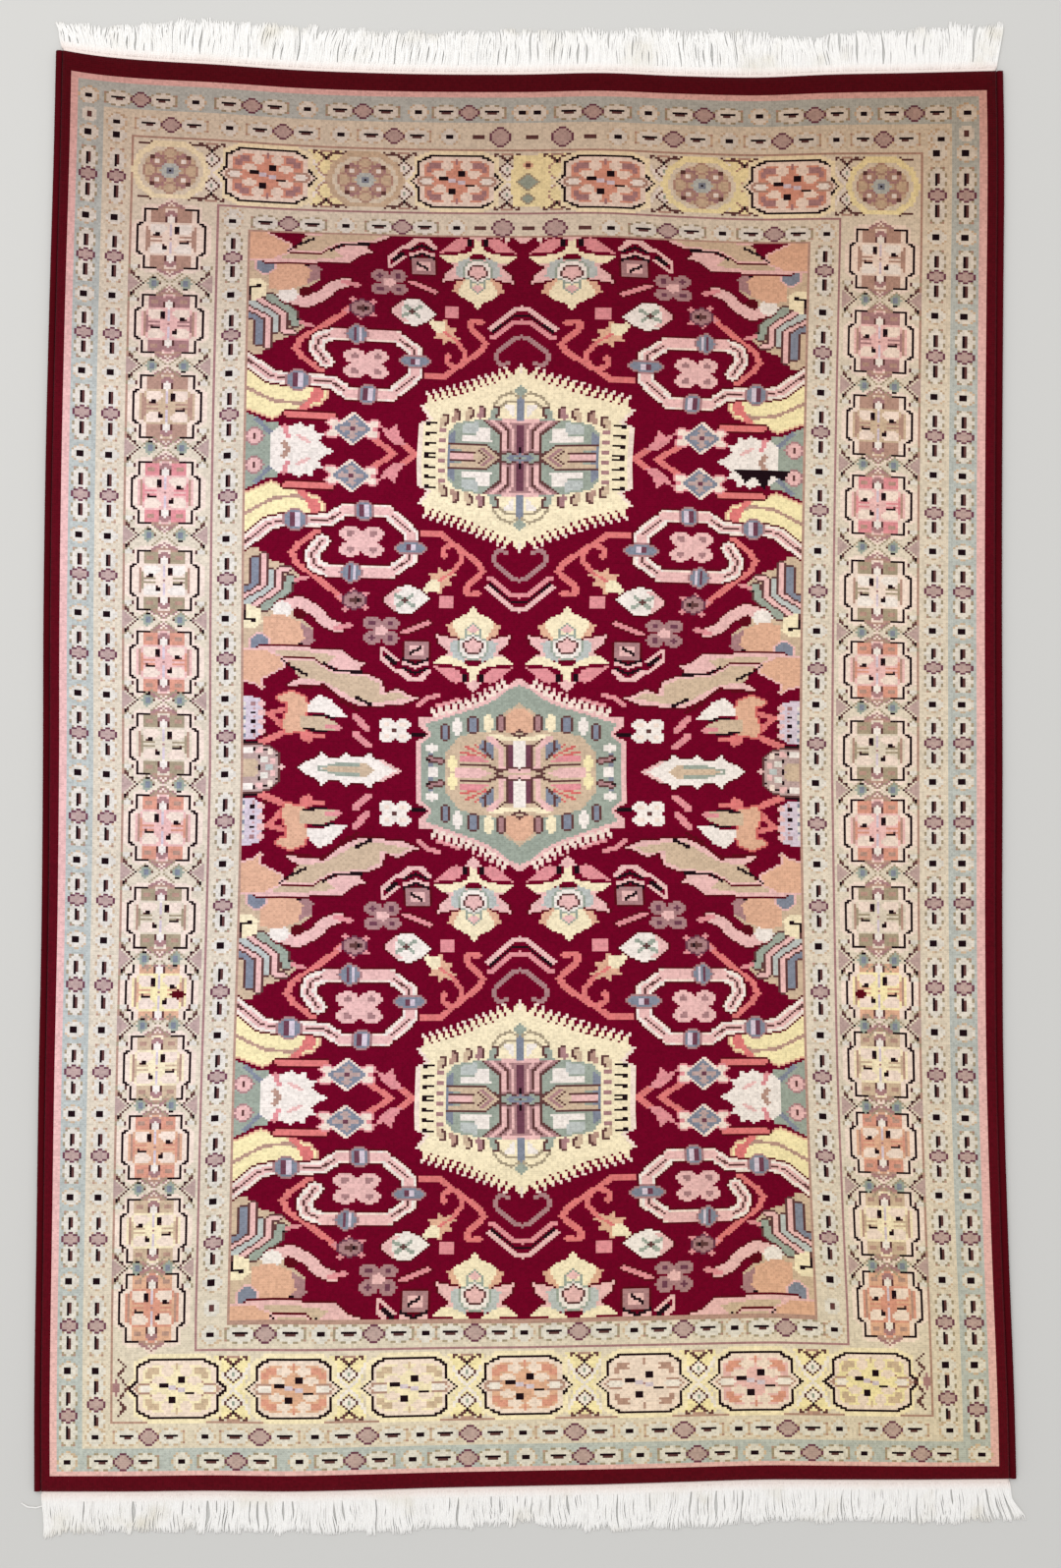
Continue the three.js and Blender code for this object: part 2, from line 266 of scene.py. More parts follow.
def banded_ring():
    """A many-sided ring of paired stripes, tied at four joints, with an arm to the field's edge."""
    bands = [
        [(46.5, 44), (46.5, 38.8), (56, 28.6), (58, 28.4)],
        [(73, 28.6), (79.5, 33.6), (88, 34.6)],
        [(97, 34.6), (103, 36), (108, 41), (115, 47)],
        [(82, 44), (86, 50.5), (84.5, 56), (78.5, 59)],
        [(55.5, 58.9), (46.8, 52), (46.5, 48.5)],
    ]
    flats = [[(56, 28.4), (73, 28.4)], [(55, 58.9), (78.5, 58.9)]]
    for band in bands + flats:
        stroke("shell", 6, band, rim="wine")
    for band in bands:
        stroke("white", 5, band)
        stroke("blush", 3, band)
        stroke("umber", 0.9, band)
    for flat in flats:
        stroke("blush", 4.6, flat)
    for x, y, half_wide, half_tall in ((46.5, 46.3, 6.2, 2.6), (65.5, 28.4, 3.4, 4.2), (92.5, 34.2, 4.2, 4.6),
                                       (70.4, 59, 3.6, 4.2)):
        dot("slate", (x, y), (half_wide, half_tall), rim="mauve")
        for wool, side in (("plum", 1), ("lilac", -1)):
            stroke(wool, 1, [(x + side, y - half_tall + 1), (x + side, y + half_tall - 1)])
    flower_of_four((66.6, 43.7), (4.5, 3.9), (4.2, 3.8), "blush", "mauve")


def flower_of_four(at, spread, half, petal, eye):
    x, y = at
    for side, end in four_ways:
        petal_at = (x + side * spread[0], y + end * spread[1])
        dot(petal, petal_at, half)
        dot(eye, petal_at, (half[0] / 2.6, half[1] / 2.6))
    dot(petal, at, (half[0] * 0.8, half[1] * 0.8))


def coral_vines():
    stroke("vine", 2.6, [(42, 39), (33.5, 39), (25, 46.5), (17.3, 52.7), (15, 57), (19, 61.5),
           (22.5, 65.5), (21.5, 68.5), (17, 68)])
    stroke("vine", 2.4, [(25, 46.5), (24.5, 52), (28.5, 58)], [(28.5, 43.5), (32.5, 46.5), (32, 50)])
    stroke("vine", 2.6, [(91, 19), (86.5, 25), (84.5, 33), (83.5, 39), (91, 45.8), (93.7, 50),
           (91.5, 55.5), (87, 59), (76, 69), (73.5, 72)])
    stroke("vine", 3, [(96, 17.2), (78.5, 17.2)], rim="wine")
    stroke("vine", 2.6, [(63, 8), (58, 4), (52.5, -0.5)])
    stroke("vine", 2.8, [(43.5, -0.5), (50, 5)])
    fill("rose", [(48, 4), (53, 4.5), (56, 7), (59.5, 13.5), (56, 11.5), (53, 15), (51.5, 9.5)])


def leaf_bud():
    fill("peach", [(27, 59), (29, 56), (32, 58), (34, 55), (35, 59), (39, 58), (37, 62), (42, 69),
         (36, 67), (33, 69), (32, 65), (28, 65), (30, 61)])
    fill("cream", [(34, 61), (38, 62), (42, 69), (36, 67), (34, 68)])
    stroke("vine", 1.2, [(28.5, 58), (34, 62)])


def bud_with_eye():
    for petal in ((74, 71), (72, 77), (64, 76), (63.5, 69), (69, 67.5)):
        stroke("rose", 2.2, [(68.5, 72.5), petal])
    dot("mauve", (68.5, 72.5), (4.4, 3.6), rim="plum")
    dot("umber", (68, 72.5), (2.2, 1.6))
    bar("black", (67, 72.5), (0.9, 0.9))


def diamond_flower():
    x, y = 70.3, 11.4
    for side, end in four_ways:
        stroke("shell", 3, [(x, y), (x + side * 8.5, y + end * 2.6)], rim="rose")
    gem("shell", (x, y), (8.6, 8.6))
    gem("slate", (x, y), (7.4, 7))
    gem("ash", (x, y), (5.6, 5.2))
    for side, end in four_ways:
        dot("slate", (x + side * 2.6, y + end * 2.3), (1.5, 1.3))
    dot("plum", (x, y), (1, 1))


def white_flower():
    fill("white", [(38, 71), (42, 67), (47, 64.5), (52, 66), (56.5, 70.5), (56, 74), (51, 78), (46, 79),
                   (41.5, 75.5)], rim="wine")
    fill("blush", [(56.5, 70.5), (52, 66), (50, 67), (53, 72), (51, 78), (56, 74)])
    stroke("sage", 1.7, [(52, 69.5), (44, 75)], [(51, 75), (45, 69.5)])
    dot("umber", (48, 72), (1.6, 1.1))


def palmette():
    x = 19

    def spread(side, *points):
        return [(x + side * out, y) for out, y in points]

    for side in (-1, 1):
        fill("peach", spread(side, (0, 82), (8, 82.5), (11.5, 83.5), (9, 91), (0, 96)))
        fill("blush", spread(side, (7, 91), (16, 88.5), (13.5, 94.5), (10, 97.5), (12, 99), (0, 102)),
             rim="wine")
        fill("mist", spread(side, (7, 91), (10, 93), (8.5, 100), (3, 103)))
        fill("cream", spread(side, (0, 105.5), (5, 102), (9, 99.5), (13.5, 100), (17, 103.5), (11, 103.5),
                             (5, 105)))
        fill("rose", spread(side, (17, 104.5), (11, 106), (8.5, 104.8), (6, 107), (3, 111), (7, 113.5),
                            (12, 110)))
        bar("black", (x + side * 3.6, 110.5), (0.7, 2.2))
    fill("cream", spread(1, (0, 74.5), (-2.5, 78), (-6, 80), (-9, 82.5), (-6.5, 89), (-4, 91), (4, 91),
                         (6.5, 89), (9, 82.5), (6, 80), (2.5, 78)))
    stroke("sage", 1.4, spread(1, (-3.2, 89.5), (-3, 86), (0, 83), (3, 86), (3.2, 89.5)))
    dot("blush", (x, 86), (2, 2.2))
    fill("white", spread(1, (0, 88.5), (-6, 92.5), (-4.6, 99), (0, 101), (4.6, 99), (6, 92.5)), rim="sage")
    fill("blush", spread(1, (0, 90.5), (-3.2, 93), (-2.8, 97.5), (2.8, 97.5), (3.2, 93)), rim="umber")
    fill("cream", spread(1, (-3.5, 105), (-2, 108), (-1.2, 113.5), (1.2, 113.5), (2, 108), (3.5, 105)))
    fill("blush", spread(1, (-4, 112.5), (-1, 112), (1, 112), (4, 112.5), (0, 118)))


def chevrons():
    stroke("mauve", 1.9, [(5, 47.5), (8.5, 46.5), (10.5, 49), (10, 53), (3, 60), (-1, 61.5)])
    stroke("rose", 2.2, [(12.5, 60), (3, 68.7), (-1, 69)])
    stroke("black", 1, [(12, 63.5), (3, 72), (-1, 72.4)])
    stroke("blush", 2.2, [(13, 65), (3, 75), (-1, 76.5)])


def small_figures():
    """The little filling motifs: a square, a four-petalled flower, a lantern with its chevrons and bars."""
    bar("rose", (30.6, 72.8), (3, 3))
    flower_of_four((57.2, 87.3), (3.7, 3.7), (3.6, 3.4), "mauve", "plum")
    dot("blush", (57.2, 87.3), (2.6, 2.4))
    stroke("rose", 2.3, [(38, 82.8), (48, 87.8)], rim="wine")
    bar("mauve", (42.5, 97), (4.5, 4.2), rim="wine")
    bar("blush", (42.5, 97), (3, 2.6))
    stroke("black", 1.4, [(45, 98.5), (40.8, 95.6)])
    stroke("black", 1.2, [(48, 101.5), (43, 104), (38, 101.5)])
    stroke("blush", 1.5, [(47.5, 103.5), (43, 105.5), (38.5, 103.5)])
    stroke("black", 1.4, [(47.5, 106), (43, 108.5), (38.5, 106)])
    stroke("blush", 2.4, [(49, 107.5), (45, 111.5), (41, 111.5), (37.5, 107.5)])
    stroke("blush", 1.8, [(57, 96), (57, 101), (51, 107.5)])
    stroke("blush", 1.5, [(57, 96), (50.5, 102)])
    stroke("black", 1.6, [(54.5, 100.5), (51, 104)])
    stroke("rose", 2.2, [(41.5, 124.5), (37, 120.5), (33, 119.5)])
    stroke("rose", 1.8, [(34, 124.5), (29, 123.5), (25, 121)])
    stroke("rose", 2.9, [(67.5, 130.5), (62.5, 137.5)], [(67, 140), (61.8, 145.5)])
    flower_of_four((51.4, 137.5), (3.4, 3.1), (3.2, 3), "white", "shell")
    dot("umber", (51.4, 137.5), (1.3, 1.1))


def edge_palmette():
    """The pale half palmette on the field's edge, between two straw leaves with pink tips."""
    fill("straw", [(117, 43), (106, 36.5), (96, 31), (82, 30), (81, 26.5), (84, 23), (91, 20.5), (97, 19),
         (102, 15.5), (107, 18), (117, 23)], rim="peach")
    stroke("tan", 1.6, [(116, 33), (101, 23.5), (91, 22.5), (84, 27)])
    stroke("vine", 2.4, [(83.5, 28), (84.5, 24.5)])
    fill("sage", [(117, -1), (117, 21), (110, 17), (105, 14), (100, 14), (99, -1)])
    stroke("slate", 2, [(108, 15), (103, 9)])
    dot("blush", (109, 7), (3, 3.2), rim="mauve")
    dot("umber", (109, 7), (0.9, 1))
    fill("white", [(103, -1), (103, 8), (99, 12), (95, 11), (91, 13.5), (88.5, 11), (86, 13), (85, 9),
         (81.5, 8.5), (83.5, 4.5), (77.5, 0), (77.5, -1)])
    stroke("rose", 2, [(97, 11), (95.5, 6)])
    stroke("tan", 2, [(97, 3), (95, -1)])
    stroke("blush", 1.4, [(92, 7), (87, 4)])


def feather_leaf():
    """The great leaf at the field's edge: hooked feathers, a curling tip and a beige body."""
    fill("sand", [(116, 44), (112, 44), (109, 48), (105, 48), (104, 53), (94, 57), (90, 62), (96, 72),
         (92, 80), (84.5, 87), (84, 93), (87, 97), (116, 100)])
    fill("crimson", [(108, 44), (106, 50), (100, 54), (93, 58), (88, 52), (98, 44)])
    for wool, width, route in (("slate", 3, [(108, 54), (108, 66), (114, 70)]),
                               ("blush", 2, [(104.5, 51), (104.5, 66.5), (114, 73)]),
                               ("mist", 2.6, [(101.5, 60), (101.5, 67.5), (112, 75)]),
                               ("blush", 2, [(94.5, 58), (98.8, 59), (98.8, 68), (108, 76)]),
                               ("sage", 3, [(94, 63), (95.5, 69), (104, 77)])):
        stroke(wool, width, route, rim="umber")
    stroke("rose", 1.8, [(92, 63.5), (87, 62)])
    bar("black", (93, 65), (0.8, 0.8))
    stroke("blush", 5, [(97, 76), (90, 74), (84, 78), (79, 84), (74.5, 86.5)], rim="wine")
    stroke("rose", 2.6, [(75, 86.5), (70, 85)])
    dot("white", (97, 78), (4, 4))
    dot("wine", (90, 80), (2.6, 2.2))
    fill("peach", [(105, 82), (98, 80), (90, 84), (87, 90), (92, 100), (104, 100)])
    fill("mauve", [(90, 84), (84.5, 88), (84, 93), (87, 97), (92, 97), (88, 92)])
    bar("black", (89.5, 95), (1.4, 0.6))
    stroke("umber", 1.4, [(112.5, 76), (112, 83), (107, 83.5)])
    fill("cream", [(111, 75), (106, 78), (105, 84), (109, 88), (114, 88), (114, 84)])
    stroke("black", 1.4, [(113, 77), (112, 83), (107.5, 83.5)])
    dot("slate", (106, 95), (3.4, 4.4), rim="blush")


def long_leaf():
    fill("blush", [(108, 96), (86, 97), (73, 98), (68, 102.5), (64, 104), (66, 107.5), (76, 108),
         (84, 106), (97, 106)], rim="wine")
    fill("sand", [(100, 98), (86, 99), (75, 100.5), (79, 104.5), (97, 105)])
    fill("blush", [(97, 103), (84, 103), (78, 107.5), (63, 109.5), (57, 112.5), (55, 118.5), (50, 116.5),
                   (46, 119.3), (41.5, 121), (48, 124), (60, 125.5), (66, 125.5), (72, 122), (77, 117.5),
                   (83, 115), (95, 116.5), (91, 113), (86, 110)], rim="wine")
    fill("sand", [(95, 103), (84, 104), (77, 109), (63, 111), (58, 114), (57, 119.5), (50, 118), (46, 121),
         (60, 124), (66, 123.5), (72, 119), (80, 113.5), (90, 112)])
    stroke("black", 1.3, [(80, 104.5), (75, 108), (65, 108.6)])
    stroke("black", 1.6, [(66.5, 121.5), (61, 124.8)])
    fill("peach", [(116, 99), (103, 99), (98, 102), (96, 106.5), (100, 109), (106, 113), (104.5, 118),
         (108, 115), (111, 114), (116, 114)], rim="blush")
    stroke("black", 1.3, [(97, 103), (93, 107), (87, 110.5)])
    stroke("umber", 1.5, [(113, 99), (113, 121)])


def bird():
    """A beast of leaves: a peach body with a pale wing, pink claws and a tail."""
    stroke("wine", 1.5, [(93, 117.5), (80, 115.5), (72, 124), (66, 128)])
    stroke("vine", 3, [(94, 139), (100, 142.5), (109, 147)])
    stroke("vine", 2.4, [(96, 128.5), (102, 130.5), (96, 138)])
    fill("peach", [(99, 123.5), (98, 121.5), (93, 119.5), (88, 122), (86, 127), (88, 131), (86, 135),
         (88, 139), (95, 140.5), (97, 136), (95, 130), (94.5, 125)], rim="coral")
    fill("white", [(85.5, 124), (82, 120.5), (77, 123), (72.5, 128.5), (71, 131), (76, 132), (80, 130),
         (87, 129.5)])
    fill("sand", [(90, 131.5), (80, 132), (76, 133.5), (73.5, 137), (77, 139), (90, 137)])
    stroke("rose", 2.4, [(78, 136.5), (74, 137)])
    stroke("black", 1.1, [(84, 131), (80, 130.6), (76, 132.4)])
    stroke("black", 1.2, [(88, 138), (79, 139.3)])
    fill("vine", [(90, 139.5), (80, 140.5), (78.5, 143), (84, 142.5), (86, 145.5), (89, 144)])


def beaded_column():
    fill("lilac", [(116, 122), (110, 121.5), (106, 123), (104.5, 126), (104.5, 140), (108, 144),
         (116, 142.5)])
    for row in (125.5, 130, 134.7, 139.7):
        dot("pearl", (112.8, row), (1.4, 1.5))
        dot("blush", (105, row), (1.6, 1.5))
        bar("mauve" if row < 128 else "black", (108.5, row), (1.1, 0.9))
    for row in (127.8, 132.3, 137.2, 141.6):
        bar("slate", (112.4, row), (1, 0.7))
        bar("orchid", (108, row), (0.8, 0.6))
        bar("wine", (103.8, row), (0.9, 0.6))
    stroke("black", 1.2, [(116, 142.5), (112, 144.5), (107, 145.5)])


def beaded_rosette():
    fill("ash", [(116, 146), (108, 146.5), (102, 147.5), (99, 151), (98.6, 159), (116, 159)], rim="umber")
    dot("sand", (110, 156), (3.4, 2.8))
    for wool, centre, radii in (("white", (110.6, 149), (2, 1.7)), ("blush", (105.8, 149.2), (1.6, 1.6)),
                                ("shell", (101.4, 150.4), (1.4, 1.6)), ("pearl", (104, 153.8), (1.6, 1.6)),
                                ("blush", (100.6, 154.6), (1.3, 1.6)), ("mist", (102.2, 157.6), (1.4, 1.6)),
                                ("blush", (96.8, 158.5), (1.5, 1.6))):
        dot(wool, centre, radii)
    for eye in ((108.2, 148.6), (103.6, 148.8), (112.9, 149), (106.2, 152.6), (106.2, 157.6), (98.8, 152.2)):
        bar("black", eye, (0.6, 0.8))


def spindle_leaf():
    fill("white", [(92, 159), (88, 155), (83.5, 153.3), (81, 149.5), (78, 152.5), (74, 152), (71, 149),
         (68.5, 152), (64.5, 151.5), (61.5, 149), (59, 152.5), (55, 153.5), (50, 159)], rim="wine")
    fill("sand", [(82, 159), (78, 156), (72, 154.5), (63, 155), (58, 159)])
    stroke("sage", 1.2, [(82, 157.5), (75, 155.5), (66, 155.5)])
    stroke("blush", 1.6, [(57, 153), (48, 159)])


feather_leaf()
edge_palmette()
coral_vines()
banded_ring()
diamond_flower()
leaf_bud()
bud_with_eye()
white_flower()
chevrons()
small_figures()
long_leaf()
bird()
beaded_column()
beaded_rosette()
spindle_leaf()
palmette()
cream_medallion()
grey_medallion()

# The whole pattern: 385 knots across and 693 rows.
columns, rows = 385, 693
middle_column = 192
first_medallion_row = 197
plan = Chart(0, columns - 1, 0, rows - 1, "wine")


def table(names, rows):
    """Rows of values under named columns."""
    return [dict(zip(names.split(), row)) for row in rows]


# The frames of the border, from the outer red to the field, each by where it starts.
frames = table("name wool side top bottom", [
    ("pink line", "blush", 4, 10, 7), ("outer guard", "mist", 7, 13, 9), ("pale line", "ivory", 18, 26, 19),
    ("second guard", "ivory", 19, 28, 20), ("thin line", "tan", 30, 39, 30),
    ("main border", "ivory", 31, 40, 31), ("thin line", "mauve", 66, 71, 62),
    ("inner guard", "ivory", 67, 72, 63), ("edge line", "tan", 79, 83, 73)
])
field = {"side": 80, "top": 84, "bottom": 75}
for each in frames:
    inside = slice(each["top"], rows - each["bottom"]), slice(each["side"], columns - each["side"])
    plan.knots[inside] = wool_number[each["wool"]]

field_columns = np.arange(field["side"], columns - field["side"])
field_rows = np.arange(field["top"], rows - field["bottom"])
across_from_middle = np.abs(field_columns - middle_column)
down_the_repeat = np.abs((field_rows - first_medallion_row + half_repeat) % (2 * half_repeat) - half_repeat)
plan.knots[np.ix_(field_rows, field_columns)] = quarter.knots[np.ix_(down_the_repeat, across_from_middle)]

# The guard stripes whose capsules are ringed in sand and not in khaki, and the step between two dots that
# has room for a hexagon.
sand_guards = (23.6, 32.5, 668)
shortest_full_step = 25


def guard_run(line, dots, upright):
    """A guard stripe: dots in pale rings, with a flat hexagon between two capsules midway from dot to dot."""
    centre = math.floor(line) + 0.5

    def at(distance, off=0):
        return (centre + off, distance) if upright else (distance, centre + off)

    def half(along, off):
        return (off, along) if upright else (along, off)

    capsule_step = 7.6 if upright else 9.4
    for first, second in zip(dots, dots[1:]):
        middle = round((first + second) / 2)
        if second - first < shortest_full_step:
            plan.dot("pearl", at(middle), half(3.6, 3.4))
            plan.bar("umber", at(middle), half(1.5, 0.5))
            continue
        for side in (-1, 1):
            spot = middle + side * capsule_step
            plan.dot("sand" if line in sand_guards else "khaki", at(spot), half(6.2, 4))
            plan.dot("pearl", at(spot), half(5.6, 3.6))
            plan.bar("black", at(spot, -0.5), half(3, 0.4))
            plan.bar("umber", at(spot, 0.5), half(2.6 if upright else 1.6, 0.4))
            for edge in (-1, 1):
                plan.bar("tan", at(spot + side * 5.4, edge * 2.6), half(0.6, 0.6))
        plan.dot("ash", at(middle), half(2.1, 2.9) if upright else half(3.2, 2.7), rim="plum")
    for eye in map(round, dots):
        plan.dot("sand", at(eye), half(4.2, 4.4))
        plan.dot("pearl", at(eye), half(3.4, 3.8))
        plan.bar("black", at(eye, -0.5 if upright else 0), half(1.1, 1.4) if upright else half(1.4, 0.9))


def outlined(chart, half_outline, wools_inward):
    """Fills an outline, given by its one half, once for each wool, drawn in by that wool's inset."""
    outline = half_outline + [(-x, -y) for x, y in half_outline]
    wide, tall = max(x for x, y in outline), max(y for x, y in outline)
    for inset, wool in wools_inward:
        chart.fill(wool, [(x * (1 - inset / wide), y * (1 - inset / tall)) for x, y in outline])


def side_cartouche(panel, petal, turned):
    chart = Chart(-17, 17, -21, 21)
    outlined(chart, [(0, -19.4), (4, -16), (11.3, -15.6), (11.3, -9.4), (14.5, -7.2), (14.5, 7.2),
                     (11.3, 9.4), (11.3, 15.6), (4, 16)],
             ((-1.6, "shell"), (0, "black"), (1.2, "shell"), (3.4, petal)))
    for end in (-1, 1):
        chart.stroke("mauve", 1.2, [(-5, end * 16), (0, end * 18.8), (5, end * 16)])
        chart.stroke("tan", 1.2, [(-5, end * 14.6), (0, end * 16.6), (5, end * 14.6)])
        for side in (-1, 1):
            chart.bar(panel, (side * 5.6, end * 11.4), (2.6, 2.6))
            chart.bar("tan", (side * 6, end * 11.2), (1.2, 1))
            chart.bar("shell", (side * 8.8, end * 11.6), (0.8, 3))
            chart.bar("umber", (side * 2.4, end * 10.4), (0.5, 1.6))
            chart.dot("shell" if petal != "shell" else "white", (side * 5.4, end * 5.2), (3.6, 2.8))
            chart.stroke(panel, 1, [(side * 9, end * 1.6), (side * 4, end * 1)])
        chart.dot("mauve", (0, end * 12.6), (3, 1.6))
        chart.dot("white", (0, end * 10), (1.4, 2.6))
        chart.bar("lilac", (0, end * 4.6), (0.9, 3.4))
    for side in (-1, 1):
        chart.bar("tan", (side * 10, 0), (0.9, 6.6))
        chart.bar(panel, (side * 8.7, 0), (0.5, 4.4))
    for x, y, half in ((-5.6, -2.4, (1.4, 0.9)), (2.6, -4.4, (1.1, 1.6)), (5.6, 2, (1.6, 0.9)),
                       (-2.4, 4.2, (1.2, 1.2))):
        x = -x if turned else x
        chart.bar("black", (x, y), half)
        chart.bar("umber", (x * 1.22, y * 0.7), (0.6, 0.6))
    chart.bar("mauve", (0, 0), (0.6, 0.9))
    return chart


def side_join():
    chart = Chart(-17, 17, -9, 9)
    for side in (-1, 1):
        chart.fill("ash", [(side * 17.5, -5.4), (side * 12, 0), (side * 17.5, 5.4)])
        chart.stroke("umber", 1, [(side * 16.4, -5.8), (side * 11, 0), (side * 16.4, 5.8)])
        for eye in ((16, 5.6), (11, 0), (13, -2.6)):
            chart.bar("black", (side * eye[0], eye[1]), (0.6, 0.6))
        chart.stroke("khaki", 1, [(side * 4, -1), (side * 7, -4.2), (side * 10, -1)])
        chart.gem("sage", (side * 6.8, 0), (3, 3.6))
        chart.bar("slate", (side * 6.8, 0), (0.9, 1.2))
        chart.bar("black", (side * 6.8, side * 2.8), (0.9, 0.6))
        chart.bar("umber", (side * 3.8, 0), (0.6, 0.6))
        for end in (-1, 1):
            chart.stroke("khaki", 1, [(side * 1.2, end * 1.4), (side * 5, end * 5)])
            chart.dot("pearl", (side * 15, end * 9), (1.8, 2.2), rim="khaki")
            chart.bar("umber", (side * 13, end * 8.4), (0.6, 0.9))
    return chart


def end_cartouche(panel, petal, wide):
    chart = Chart(-22, 22, -15, 15)
    outlined(chart, [(-wide * 0.64, -13.6), (wide * 0.64, -13.6), (wide, -10.4), (wide, -4.2),
                     (wide + 3.8, 0), (wide, 4.2), (wide, 10.4)],
             ((-1.8, "cream"), (0, "black"), (1.2, "shell"), (2.9, petal)))
    for side in (-1, 1):
        lens = side * (wide - 3.6)
        chart.stroke("tan", 1, [(lens - side * 4, -2.6), (lens + side * 2, -2.2), (lens + side * 4, 0),
                     (lens + side * 2, 2.2), (lens - side * 4, 2.6)])
        chart.dot("white", (lens, 0), (3.2, 1.5))
        for end in (-1, 1):
            chart.bar(panel, (side * wide * 0.56, end * 8), (2.4, 1.6))
            chart.bar(panel, (side * wide * 0.72, end * 6), (1.4, 1.6))
            chart.dot("shell", (side * wide * 0.24, end * 8), (2.8, 2.2))
            chart.dot("shell", (side * wide * 0.44, end * 3.8), (3, 2))
        chart.bar(panel, (0, side * 10), (0.6, 1.4))
        chart.bar("lilac", (side * 2, side * 0.6), (1.4, 0.8))
    for x, y, half in ((-5.8, -1.6, (2, 0.9)), (1.9, -4.4, (1.3, 1.5)), (5.4, 2, (2, 0.9)),
                       (-2.3, 4.8, (1.3, 1.3))):
        chart.bar("black", (x, y), half)
    chart.bar("mauve", (0, 0), (0.6, 0.9))
    return chart


def end_join(ground, ringed):
    chart = Chart(-9, 9, -15, 15)
    chart.fill(ground, [(-7, -14), (7, -14), (4, 0), (7, 14), (-7, 14), (-4, 0)])
    for end in (-1, 1):
        chart.stroke("white", 1.4, [(-6.6, end * 11), (-2.4, end * 3), (2.4, -end * 3), (6.6, -end * 11)])
        if ringed:
            chart.gem("white", (0, end * 6.6), (2.6, 3), rim="umber")
            chart.bar("sage", (0, end * 6.6), (0.6, 0.9))
        else:
            chart.dot("straw", (0, end * 6), (3, 3.4), rim="tan")
        chart.stroke("umber", 1.2, [(-4.4, end * 14.4), (0, end * 10.6), (4.4, end * 14.4)])
        chart.bar("black", (0, end * 10.4), (0.6, 0.9))
        chart.bar("tan", (0, end * 14), (2, 0.9))
        for side in (-1, 1):
            chart.bar("umber", (side * 5, end * 13.4), (0.9, 0.6))
    return chart


def rosette(ground):
    chart = Chart(-17, 17, -14, 14)
    outlined(chart, [(-7, -14), (7, -14), (13.6, -8.6), (16.4, 0), (13.6, 8.6)],
             ((0, ground), (2.6, "ivory"), (4.6, "sand")))
    for side in (-1, 1):
        for end in (-1, 1):
            chart.dot("mauve", (side * 5.4, end * 4.8), (3.6, 3.4))
            chart.dot("tan", (side * 5.2, end * 4.6), (2.4, 2.2))
            chart.bar("white", (side * 5.8, end * 4.4), (0.8, 0.8))
            chart.bar("umber", (side * 7.6, end * 6.4), (0.9, 0.6))
        chart.dot("sand", (side * 8.6, 0), (2.2, 2.8), rim="tan")
        chart.dot("sand", (0, side * 8.4), (2.8, 2), rim="tan")
        chart.stroke("umber", 1, [(-13, side * 12.6), (-8, side * 13.6)], [(13, side * 12.6),
                     (8, side * 13.6)])
    chart.dot("mist", (0, 0), (4, 3.6))
    chart.dot("slate", (0, 0), (1.8, 1.6))
    chart.bar("black", (0, 0), (0.6, 0.6))
    return chart


# Side borders: the rows at which the cartouches and the crossings between them stand, at the left and the
# right, and the wools of each cartouche.
side_border = table("left right join panel petal", [
    (89, 91.5, 112.5, "tan", "shell"), (133, 134, 155.5, "mauve", "blush"),
    (175, 175, 195.5, "tan", "sand"), (217.5, 216.5, 238.5, "rose", "blush"),
    (261.5, 260.5, 281.5, "khaki", "shell"), (302.5, 301.5, 322, "salmon", "blush"),
    (344, 344, 363, "khaki", "ivory"), (384, 384, 404.5, "salmon", "blush"),
    (427, 426.5, 448, "khaki", "ivory"), (462.5, 462, 477.5, "peach", "straw"),
    (497, 496, 516, "sand", "cream"), (535, 534, 555.5, "salmon", "peach"),
    (575, 574, 593.5, "sand", "cream"), (612, 611.5, None, "peach", "salmon")
])
squashed_row = 462.5
squashed_by = 9
squashed_fleck = 7.5
side_line = 47.5
other_side_line = columns - 1 - side_line
for number, stretch in enumerate(side_border):
    chart = side_cartouche(stretch["panel"], stretch["petal"], number % 2 == 1)
    if stretch["left"] == squashed_row:
        chart.knots[:squashed_by] = bare
        chart.knots[-squashed_by:] = bare
    plan.place(chart, (side_line, stretch["left"] - 0.5))
    plan.place(chart, (other_side_line, stretch["right"] - 0.5), mirrored=True)
for stretch in side_border[:-1]:
    for line in (side_line, other_side_line):
        plan.place(side_join(), (line, stretch["join"] - 0.5))
plan.dot("wine", (side_line + squashed_fleck, squashed_row + 0.5), (3, 2))
plan.dot("wine", (other_side_line - squashed_fleck, squashed_row), (3, 1.6))

# A dark mend beside the right edge of the field.
plan.fill("black", [(276, 200.5), (300, 200), (297, 206), (292, 203), (289, 211), (285, 204), (281, 208),
          (279, 203)])

# End borders: the columns at which each motif stands.
top_line, bottom_line = 55, 646.5
for column in (62.5, 142, 185.5, 246.5, 320.5):
    plan.place(end_join("ivory", True), (column, top_line))
for column in (110, 204.5, 279.5):
    plan.place(end_join("straw", False), (column, top_line))
for column, ground in ((46, "cream"), (126, "sand"), (262, "straw"), (337.5, "straw")):
    plan.place(rosette(ground), (column, top_line))
for column, half_wide in ((86.5, 17), (164.5, 16), (224.5, 16), (298.5, 16)):
    plan.place(end_cartouche("mauve", "salmon", half_wide), (column, top_line))
plan.fill("straw", [(188, 42), (200, 42), (203, 55), (200, 68), (188, 68), (186, 55)])
for row, half_tall in ((55, 3.6), (63.5, 2.6)):
    plan.gem("sage", (193.5, row), (half_tall, half_tall), rim="khaki")
plan.gem("umber", (193.5, 46.5), (2, 1.6), rim="peach")
for column in (80.5, 125, 170, 215, 259.5, 303):
    plan.place(end_join("straw", True), (column, bottom_line))
